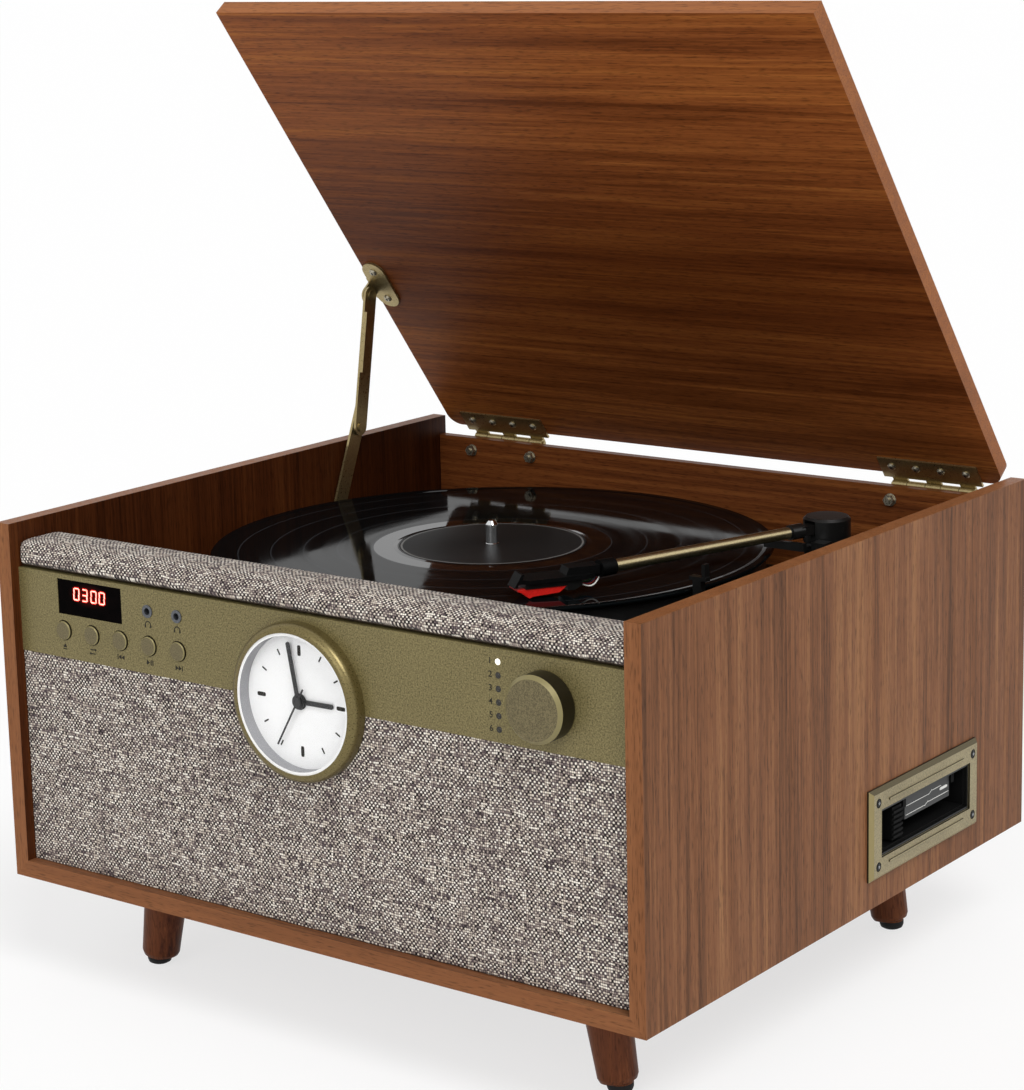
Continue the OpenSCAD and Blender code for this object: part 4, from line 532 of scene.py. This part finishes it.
GREY_PLASTIC = speckled("dark grey moulded ABS", "#2a2b2b", "#3a3b3b", 0.8, 0.45, Specular_IOR_Level=0.3)
RUBBER = speckled("black nitrile rubber", "#0c0c0c", "#191919", 0.9, 0.7, Specular_IOR_Level=0.25)
FELT = speckled("black wool felt", "#0e0e0e", "#1e1e20", 0.8, 0.95, bump_mm=0.2, Specular_IOR_Level=0.1)
CHROME = speckled("polished chrome plate", "#c9cacb", "#dedfe0", 1.5, 0.1, Metallic=1.0)
STEEL = speckled("zinc plated steel", "#8d8f92", "#a9abae", 1.2, 0.35, Metallic=1.0)
NICKEL = speckled("nickel plated ring", "#4a4c50", "#6a6d72", 0.8, 0.34, Metallic=0.6)
PLATTER_METAL = speckled("black enamelled steel", "#0d0d0d", "#191919", 1.0, 0.4)
BOARD = speckled("fibreboard", "#2a1f16", "#43331f", 1.6, 0.8)
CIRCUIT = speckled("green solder resist", "#0d3a22", "#175a36", 3.0, 0.35)
INK = speckled("dark screen ink", "#1b1812", "#262219", 0.5, 0.6, Specular_IOR_Level=0.2)
WHITE_INK = speckled("white screen ink", "#d6d6d2", "#e6e6e2", 0.5, 0.6)
SCREW_BLACK = speckled("black lacquered steel", "#080808", "#121211", 0.6, 0.35, Specular_IOR_Level=0.22)
ARM_BLACK = speckled("satin black moulded ABS", "#050505", "#0c0c0c", 0.7, 0.5, Specular_IOR_Level=0.06)

FINISHES = {
    "tonearm_tube": arm_tube(), "record": vinyl_record(), "display_window": display_plastic(),
    "lamp_lenses": lamp_plastic(), "clock_glass": clear_glass(), "clock_dial": dial_card(),
    "side_frames": frame_paint(), "control_panel": BRONZE, "clock_bezel": BEZEL_BRONZE,
    "jack_sockets": NICKEL, "front_baffle": BOARD, "stylus": RED_PLASTIC, "headshell": ARM_BLACK,
    "cassette_flap": GREY_PLASTIC, "frame_screws": SCREW_BLACK, "spindle": CHROME, "slip_mat": FELT,
    "platter": PLATTER_METAL, "motor": STEEL, "circuit_board": CIRCUIT,
}
FINISHES.update(WALNUT)
for finish, names in (
        (KNOB_BRONZE, ("volume_knob", "tray_button", "repeat_button", "previous_button", "play_button",
                       "next_button")),
        (BRASS, ("hinge_lower_leaves", "hinge_upper_leaves", "stay_lid_bracket", "stay_upper_bar",
                 "stay_lower_bar", "stay_wall_bracket", "motor_pulley")),
        (BLACK_METAL, ("hour_hand", "minute_hand", "second_hand")),
        (BOLT_METAL, ("hinge_bolts", "lid_screws")), (WELL_PLASTIC, ("cassette_button", "media_drives")),
        (RUBBER, ("foot_pads", "drive_belt")), (TWEED, ("grille_cloth", "top_pad"))):
    FINISHES.update(dict.fromkeys(names, finish))
for name, node in nodes.items():
    for place in node.material_slots:
        place.material = FINISHES.get(name, BLACK_PLASTIC)


# New pieces
def select_faces(piece, test):
    """Leaves the piece in edit mode with the faces that pass the test selected."""
    bpy.ops.object.mode_set(mode="EDIT")
    bpy.context.tool_settings.mesh_select_mode = (False, False, True)
    bpy.ops.mesh.select_all(action="DESELECT")
    bpy.ops.object.mode_set(mode="OBJECT")
    for face in piece.data.polygons:
        face.select = test(face)
    bpy.ops.object.mode_set(mode="EDIT")


def apply_modifier(piece, kind, **values):
    """Adds a modifier with its values and applies it."""
    change = piece.modifiers.new(kind.lower(), kind)
    for key, value in values.items():
        setattr(change, key, value)
    bpy.context.view_layer.objects.active = piece
    bpy.ops.object.modifier_apply(modifier=change.name)


def take(piece):
    """Makes the piece the only selected and active one."""
    bpy.ops.object.select_all(action="DESELECT")
    piece.select_set(True)
    bpy.context.view_layer.objects.active = piece


def settle(piece, name, body, material):
    """Names the finished piece, puts its place into its mesh and ties it to its body."""
    take(piece)
    bpy.ops.object.transform_apply(location=True, rotation=True, scale=True)
    piece.name = name
    piece.data.name = name
    piece.data.materials.clear()
    piece.data.materials.append(material)
    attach(piece, body)


def copy_to(piece, place):
    """A copy with its own mesh, at a place given by a matrix."""
    twin = piece.copy()
    twin.data = piece.data.copy()
    bpy.context.collection.objects.link(twin)
    twin.matrix_world = place
    return twin


def join(pieces):
    """Puts each piece's place into its mesh and makes them one."""
    for piece in pieces:
        take(piece)
        bpy.ops.object.transform_apply(location=True, rotation=True, scale=True)
    bpy.ops.object.select_all(action="DESELECT")
    for piece in pieces:
        piece.select_set(True)
    bpy.context.view_layer.objects.active = pieces[0]
    bpy.ops.object.join()
    return pieces[0]


def shift_to(x, y, z):
    """The matrix of a move in millimetres."""
    return Matrix.Translation((x * MM, y * MM, z * MM))


def turn_by(degrees, axis):
    return Matrix.Rotation(math.radians(degrees), 4, axis)


FRONT = turn_by(90, "X")


def on_front(x, y, z, turn=0.0, width=1.0, height=1.0):
    """The place of a flat shape that lies in XY, set upright on the front: its X to the right, its Y up."""
    return shift_to(x, y, z) @ FRONT @ turn_by(turn, "Z") @ Matrix.Diagonal((width, height, 1.0, 1.0))


def thicken(piece, depth_mm):
    """Gives a flat shape its thickness, forwards."""
    take(piece)
    select_faces(piece, lambda face: True)
    bpy.ops.mesh.extrude_region_move(TRANSFORM_OT_translate={"value": (0, 0, depth_mm * MM)})
    bpy.ops.mesh.select_all(action="SELECT")
    bpy.ops.mesh.normals_make_consistent(inside=False)
    bpy.ops.object.mode_set(mode="OBJECT")
    return piece


def flat_bar(width_mm, height_mm, depth_mm=PRINT_DEPTH):
    """A thin bar with softened corners."""
    bpy.ops.object.select_all(action="DESELECT")
    bpy.ops.mesh.primitive_plane_add(size=1)
    bar = bpy.context.object
    bar.scale = (width_mm * MM, height_mm * MM, 1)
    bpy.ops.object.transform_apply(scale=True)
    bpy.ops.object.mode_set(mode="EDIT")
    bpy.ops.mesh.select_all(action="SELECT")
    bpy.ops.mesh.bevel(offset=min(width_mm, height_mm) * 0.2 * MM, segments=2, affect="VERTICES")
    bpy.ops.object.mode_set(mode="OBJECT")
    return thicken(bar, depth_mm)


def flat_triangle(size_mm):
    """A thin triangle that points right."""
    bpy.ops.object.select_all(action="DESELECT")
    bpy.ops.mesh.primitive_circle_add(vertices=3, radius=size_mm * MM, fill_type="NGON",
                                      rotation=(0, 0, math.radians(-90)))
    wedge = bpy.context.object
    bpy.ops.object.transform_apply(rotation=True)
    bpy.ops.object.mode_set(mode="EDIT")
    bpy.ops.mesh.select_all(action="SELECT")
    bpy.ops.mesh.bevel(offset=size_mm * 0.08 * MM, segments=1, affect="VERTICES")
    bpy.ops.object.mode_set(mode="OBJECT")
    return thicken(wedge, PRINT_DEPTH)


def flat_arc(radius_mm, width_mm, sweep):
    """Part of a thin ring, spun from one edge over a sweep in degrees."""
    bpy.ops.object.select_all(action="DESELECT")
    bpy.ops.mesh.primitive_plane_add(size=1)
    arc = bpy.context.object
    arc.scale = (width_mm * MM, 0.02 * MM, 1)
    arc.location = (radius_mm * MM, 0, 0)
    bpy.ops.object.transform_apply(location=True, scale=True)
    bpy.ops.object.mode_set(mode="EDIT")
    bpy.context.tool_settings.mesh_select_mode = (False, True, False)
    bpy.ops.mesh.select_all(action="DESELECT")
    bpy.ops.object.mode_set(mode="OBJECT")
    for edge in arc.data.edges:
        ends = [arc.data.vertices[v].co.y for v in edge.vertices]
        edge.select = min(ends) > 0
    bpy.ops.object.mode_set(mode="EDIT")
    bpy.ops.mesh.spin(steps=max(4, int(sweep / 9)), angle=math.radians(-sweep), center=(0, 0, 0),
                      axis=(0, 0, 1))
    bpy.ops.mesh.select_all(action="SELECT")
    bpy.ops.mesh.remove_doubles(threshold=0.001 * MM)
    bpy.ops.object.mode_set(mode="OBJECT")
    return thicken(arc, PRINT_DEPTH)


def speaker_cloth():
    """The stretched sheet on its board, with the clock's round cut at its upper edge."""
    bpy.ops.object.select_all(action="DESELECT")
    bpy.ops.mesh.primitive_grid_add(x_subdivisions=90, y_subdivisions=28, size=1)
    cloth = bpy.context.object
    cloth.matrix_world = on_front(0, PANEL_Y + 0.7, CLOTH_LOW + CLOTH_H / 2, 0, CLOTH_W * MM, CLOTH_H * MM)
    bpy.ops.object.transform_apply(location=True, rotation=True, scale=True)
    ripple = bpy.data.textures.new("pull of the cloth", "CLOUDS")
    ripple.noise_scale = 0.05
    apply_modifier(cloth, "DISPLACE", texture=ripple, strength=0.35 * MM, mid_level=0.5,
                   texture_coords="LOCAL", direction="Y")
    apply_modifier(cloth, "SOLIDIFY", thickness=0.8 * MM, offset=0.0)
    bpy.ops.mesh.primitive_cylinder_add(vertices=96, radius=CLOTH_CUT_R * MM, depth=20 * MM,
                                        location=(0, PANEL_Y * MM, CLOCK_Z * MM),
                                        rotation=(math.radians(90), 0, 0))
    cutter = bpy.context.object
    take(cloth)
    apply_modifier(cloth, "BOOLEAN", object=cutter, operation="DIFFERENCE", solver="EXACT")
    bpy.data.objects.remove(cutter)
    apply_modifier(cloth, "BEVEL", width=0.3 * MM, segments=2, limit_method="ANGLE",
                   angle_limit=math.radians(60))
    settle(cloth, "speaker_cloth", "cabinet", TWEED)
    bpy.ops.object.shade_smooth_by_angle(angle=math.radians(40))
    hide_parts("grille_cloth")


def padded_rail():
    """The cloth covered foam roll along the top of the front: swollen by pressure, held at the back
    and below where the cloth is fixed to its board."""
    last_frame, most_swell = 20, 0.9 * MM
    low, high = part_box("top_pad")
    margin = Vector((0.3, 0.1, 0.1)) * MM
    low, high = Vector(low) + margin, Vector(high) - margin
    size = high - low
    bpy.ops.object.select_all(action="DESELECT")
    bpy.ops.mesh.primitive_cube_add(size=1, location=(low + high) / 2)
    roll = bpy.context.object
    roll.scale = size
    bpy.ops.object.transform_apply(location=True, scale=True)
    for front, above, offset in ((True, True, 4.2), (True, False, 2.4), (False, True, 4.2)):
        bpy.ops.object.mode_set(mode="EDIT")
        bpy.context.tool_settings.mesh_select_mode = (False, True, False)
        bpy.ops.mesh.select_all(action="DESELECT")
        bpy.ops.object.mode_set(mode="OBJECT")
        for edge in roll.data.edges:
            a, b = (roll.data.vertices[v].co for v in edge.vertices)
            at_y, at_z = low.y if front else high.y, high.z if above else low.z
            edge.select = (abs(a.x - b.x) > size.x / 2 and all(abs(p.y - at_y) < 0.01 * MM for p in (a, b))
                           and all(abs(p.z - at_z) < 0.01 * MM for p in (a, b)))
        bpy.ops.object.mode_set(mode="EDIT")
        bpy.ops.mesh.bevel(offset=offset * MM, segments=5, affect="EDGES")
        bpy.ops.object.mode_set(mode="OBJECT")
    apply_modifier(roll, "REMESH", mode="VOXEL", voxel_size=2.6 * MM, adaptivity=0.0)
    before = [v.co.copy() for v in roll.data.vertices]
    held = roll.vertex_groups.new(name="fixed edge")
    held.add([v.index for v in roll.data.vertices
              if v.co.y > high.y - 6 * MM or v.co.z < low.z + 1.5 * MM], 1.0, "REPLACE")
    cover = roll.modifiers.new("cloth", "CLOTH")
    cover.settings.quality = 6
    cover.settings.mass = 0.3
    cover.settings.use_pressure = True
    cover.settings.uniform_pressure_force = 4
    cover.settings.vertex_group_mass = "fixed edge"
    cover.settings.effector_weights.gravity = 0
    cover.point_cache.frame_start = 1
    cover.point_cache.frame_end = last_frame
    for step in range(1, last_frame + 1):
        bpy.context.scene.frame_set(step)
    take(roll)
    bpy.ops.object.modifier_apply(modifier="cloth")
    bpy.context.scene.frame_set(1)
    for vertex, old in zip(roll.data.vertices, before):
        move = vertex.co - old
        if move.length > most_swell:
            vertex.co = old + move * (most_swell / move.length)
    roll.vertex_groups.clear()
    apply_modifier(roll, "SMOOTH", factor=0.5, iterations=1)
    apply_modifier(roll, "SUBSURF", levels=1, render_levels=1)
    settle(roll, "padded_rail", "cabinet", TWEED)
    bpy.ops.object.shade_smooth()
    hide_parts("top_pad")


def display_digits():
    """Four seven segment digits in the window's upper half: a red spread with a pale core before it."""
    segments = {"a": (0, 3.0, 0), "g": (0, 0, 0), "d": (0, -3.0, 0), "f": (-1.75, 1.5, 90),
                "b": (1.75, 1.5, 90), "e": (-1.75, -1.5, 90), "c": (1.75, -1.5, 90)}
    shown = {"0": "abcdef", "3": "abcdg"}
    first, pitch, gap, slant = -9.2, 5.8, 0.6, 0.08
    for name, wide, high, out, material in (
            ("digit_spread", 3.4, 1.5, 0.27, lit_digits("red lamp spread", "#b3160c", "#d8230f")),
            ("digit_cores", 2.9, 0.62, 0.21, lit_digits("lit lamp core", "#ffb09c", "#ffd8c8"))):
        bar = flat_bar(wide, high)
        made = []
        for i, digit in enumerate("0300"):
            x = WINDOW_X + first + i * pitch + (gap if i > 1 else 0)
            for key in shown[digit]:
                dx, dz, turn = segments[key]
                made.append(copy_to(bar, on_front(x + dx + dz * slant, PANEL_Y + out,
                                                  WINDOW_Z + DIGITS_RISE + dz, turn)))
        bpy.data.objects.remove(bar)
        settle(join(made), name, "cabinet", material)


def dial_marks():
    """Twelve hour marks on the dial, the quarter ones thicker."""
    mark = flat_bar(1.0, 1.0, 0.12)
    made = []
    for i in range(12):
        wide, long = (2.0, 5.2) if i % 3 == 0 else (0.8, 3.2)
        turn = math.radians(i * 30)
        middle = DIAL_MARKS_R - long / 2
        made.append(copy_to(mark, on_front(middle * math.sin(turn), DIAL_FACE_Y,
                                           CLOCK_Z + middle * math.cos(turn), -i * 30, wide, long)))
    bpy.data.objects.remove(mark)
    settle(join(made), "dial_marks", "cabinet", INK)


def panel_symbols():
    """Printed signs below the buttons and sockets, and numbers beside the lamps."""
    bar, wedge, arc = flat_bar(1.0, 1.0), flat_triangle(1.0), flat_arc(1.2, 0.35, 180)
    scale, below_button, below_socket = 1.5, 8.6, 6.6
    # Each part of a sign: its shape, place, turn, width and height
    back = ((bar, -1.5, 0, 0, 0.4, 1.8), (wedge, -0.3, 0, 180, 0.9, 1.0), (wedge, 1.1, 0, 180, 0.9, 1.0))
    ahead = ((bar, 1.5, 0, 0, 0.4, 1.8), (wedge, 0.3, 0, 0, 0.9, 1.0), (wedge, -1.1, 0, 0, 0.9, 1.0))
    open_tray = ((wedge, 0, 0.2, 90, 0.9, 1.1), (bar, 0, -0.8, 0, 1.7, 0.4))
    again = ((bar, 0, 0.7, 0, 2.4, 0.35), (bar, 0, -0.7, 0, 2.4, 0.35), (wedge, 1.2, 0.7, 0, 0.6, 0.6),
             (wedge, -1.2, -0.7, 180, 0.6, 0.6))
    play = ((wedge, -0.9, 0, 0, 0.95, 1.05), (bar, 0.6, 0, 0, 0.45, 1.8), (bar, 1.4, 0, 0, 0.45, 1.8))
    phones = ((arc, 0, -0.3, 0, 1.0, 1.0), (bar, -1.2, -0.7, 0, 0.6, 1.0), (bar, 1.2, -0.7, 0, 0.6, 1.0))
    signs = [(x, BUTTON_Z - below_button, sign)
             for x, sign in zip(BUTTON_X, (open_tray, again, back, play, ahead))]
    signs += [(x, SOCKET_Z - below_socket, phones) for x in SOCKET_X]
    made = []
    for x, z, sign in signs:
        for shape, dx, dz, turn, wide, high in sign:
            made.append(copy_to(shape, on_front(x + dx * scale, PANEL_Y, z + dz * scale, turn, wide * scale,
                                                high * scale)))
    for shape in (bar, wedge, arc):
        bpy.data.objects.remove(shape)
    for i, z in enumerate(LAMP_Z):
        bpy.ops.object.select_all(action="DESELECT")
        bpy.ops.object.text_add()
        number = bpy.context.object
        number.data.body = str(i + 1)
        number.data.size = 4.2 * MM
        number.data.align_x = "RIGHT"
        number.data.align_y = "CENTER"
        number.data.extrude = PRINT_DEPTH / 2 * MM
        number.data.offset = 0.05 * MM
        bpy.ops.object.convert(target="MESH")
        number = bpy.context.object
        number.matrix_world = on_front(LAMP_X - 3.4, PANEL_Y - PRINT_DEPTH / 2, z)
        made.append(number)
    settle(join(made), "panel_symbols", "cabinet", INK)


def screw_crosses():
    """The cross recess in each screw head, as a thin cross: a painted glint in the black screws, painted
    shade in the others.
    """
    half_long, half_thin = 0.75, 0.29
    bpy.ops.object.select_all(action="DESELECT")
    bpy.ops.mesh.primitive_grid_add(x_subdivisions=3, y_subdivisions=3, size=1)
    cross = bpy.context.object
    select_faces(cross, lambda face: abs(face.center.x) > 0.2 and abs(face.center.y) > 0.2)
    bpy.ops.mesh.delete(type="FACE")
    bpy.ops.object.mode_set(mode="OBJECT")
    for vertex in cross.data.vertices:
        for k in (0, 1):
            vertex.co[k] *= (half_long / 0.5 if abs(vertex.co[k]) > 0.3 else half_thin / 0.1667) * MM
    thicken(cross, 0.08)
    frames = []
    for side, middle, half_y, half_z in ((1, SLOT_MID_Y, 49.5, 16.5), (-1, TRAY_MID_Y, 72.9, 11.9)):
        for sy in (-1, 1):
            for sz in (-1, 1):
                place = shift_to(side * FRAME_SCREWS_X, middle + sy * half_y, SLOT_Z + sz * half_z)
                frames.append(copy_to(cross, place @ turn_by(20 + 47 * sy + 13 * sz, "X")
                                      @ turn_by(90 * side, "Y")))
    # Light crosses in the black frame screws: painted glint.
    settle(join(frames), "frame_screw_crosses", "cabinet", STEEL)
    swing = shift_to(0, HINGE_Y, HINGE_Z) @ turn_by(-LID_OPEN, "X") @ shift_to(0, -HINGE_Y, -HINGE_Z)
    heads = [(side * HINGE_X + x, LEAF_SCREWS_Y, LID_Z - LEAF_THICK - SCREW_HEAD)
             for side in (-1, 1) for x in LEAF_SCREWS_X]
    heads += [(STAY_PLATE_X, STAY_PLATE_Y + s * STAY_PLATE_SCREWS, LID_Z - STAY_PLATE_THICK - SCREW_HEAD)
              for s in (-1, 1)]
    lid = [copy_to(cross, swing @ shift_to(*head) @ turn_by(180, "X") @ turn_by(31 * i, "Z"))
           for i, head in enumerate(heads)]
    # Black crosses in the lid screws: painted shade in their recesses.
    settle(join(lid), "lid_screw_crosses", "lid", BLACK_METAL)
    x, y, z = STAY_WALL
    wall = [copy_to(cross, shift_to(x, y + s * STAY_WALL_SCREWS, z) @ turn_by(90, "Y")
                    @ turn_by(25 * s, "Z")) for s in (-1, 1)]
    # Black crosses in the stay's wall screws: painted shade in their recesses.
    settle(join(wall), "stay_screw_crosses", "cabinet", BLACK_METAL)
    bpy.data.objects.remove(cross)


def flap_marks():
    """Two thin printed lines with a small step, and a short bar, on the cassette flap."""
    bar = flat_bar(1.0, 1.0)
    line = 0.34
    made = []
    for y, z, wide, high, turn in ((64.5, 92.8, 20, line, 0), (76.3, 93.3, 4.4, line, 24),
                                   (89, 93.7, 22, line, 0), (66.5, 97.6, 24, line, 0),
                                   (80.3, 98.2, 4.4, line, 24), (87, 98.7, 10, line, 0),
                                   (94.5, 97.0, 8, 1.5, 0)):
        made.append(copy_to(bar, shift_to(FLAP_FACE_X, y, z) @ turn_by(90, "Z") @ FRONT @ turn_by(turn, "Z")
                            @ Matrix.Diagonal((wide, high, 1, 1))))
    bpy.data.objects.remove(bar)
    settle(join(made), "flap_marks", "flap", WHITE_INK)


def head_leads():
    """Four thin leads between the arm's end and the cartridge, in the usual four colours."""
    head = (shift_to(*ARM_PIVOT) @ turn_by(-ARM_YAW, "Z") @ shift_to(0, -HEAD_START, 0)
            @ turn_by(-HEAD_YAW, "Z"))
    sleeves = (("green", "#1d6b3a", "#2d8650"), ("blue", "#1d3f7e", "#2d5596"),
               ("red", "#9e1c17", "#b8302a"), ("white", "#d8d6d0", "#eae8e2"))
    for i, (name, colour, other) in enumerate(sleeves):
        side = (i - 1.5) / 1.5
        bpy.ops.object.select_all(action="DESELECT")
        bpy.ops.curve.primitive_bezier_curve_add()
        lead = bpy.context.object
        lead.data.bevel_depth = 0.4 * MM
        lead.data.bevel_resolution = 3
        lead.data.use_fill_caps = True
        path = lead.data.splines[0]
        points = ((side * 1.6, -7.4, -3.0), (side * 3.8, -12.8, -7.2 - 0.5 * (i % 2)),
                  (side * 4.8, -19.4, -6.4))
        path.bezier_points.add(1)
        for point, spot in zip(path.bezier_points, points):
            point.co = [c * MM for c in spot]
            point.handle_left_type = point.handle_right_type = "AUTO"
        lead.matrix_world = head
        take(lead)
        bpy.ops.object.convert(target="MESH")
        settle(bpy.context.object, "head_lead_" + name, "arm",
               speckled(name + " insulated lead", colour, other, 0.6, 0.45))
        bpy.ops.object.shade_smooth()


place_camera()
light_stage()
speaker_cloth()
padded_rail()
display_digits()
dial_marks()
panel_symbols()
screw_crosses()
flap_marks()
head_leads()
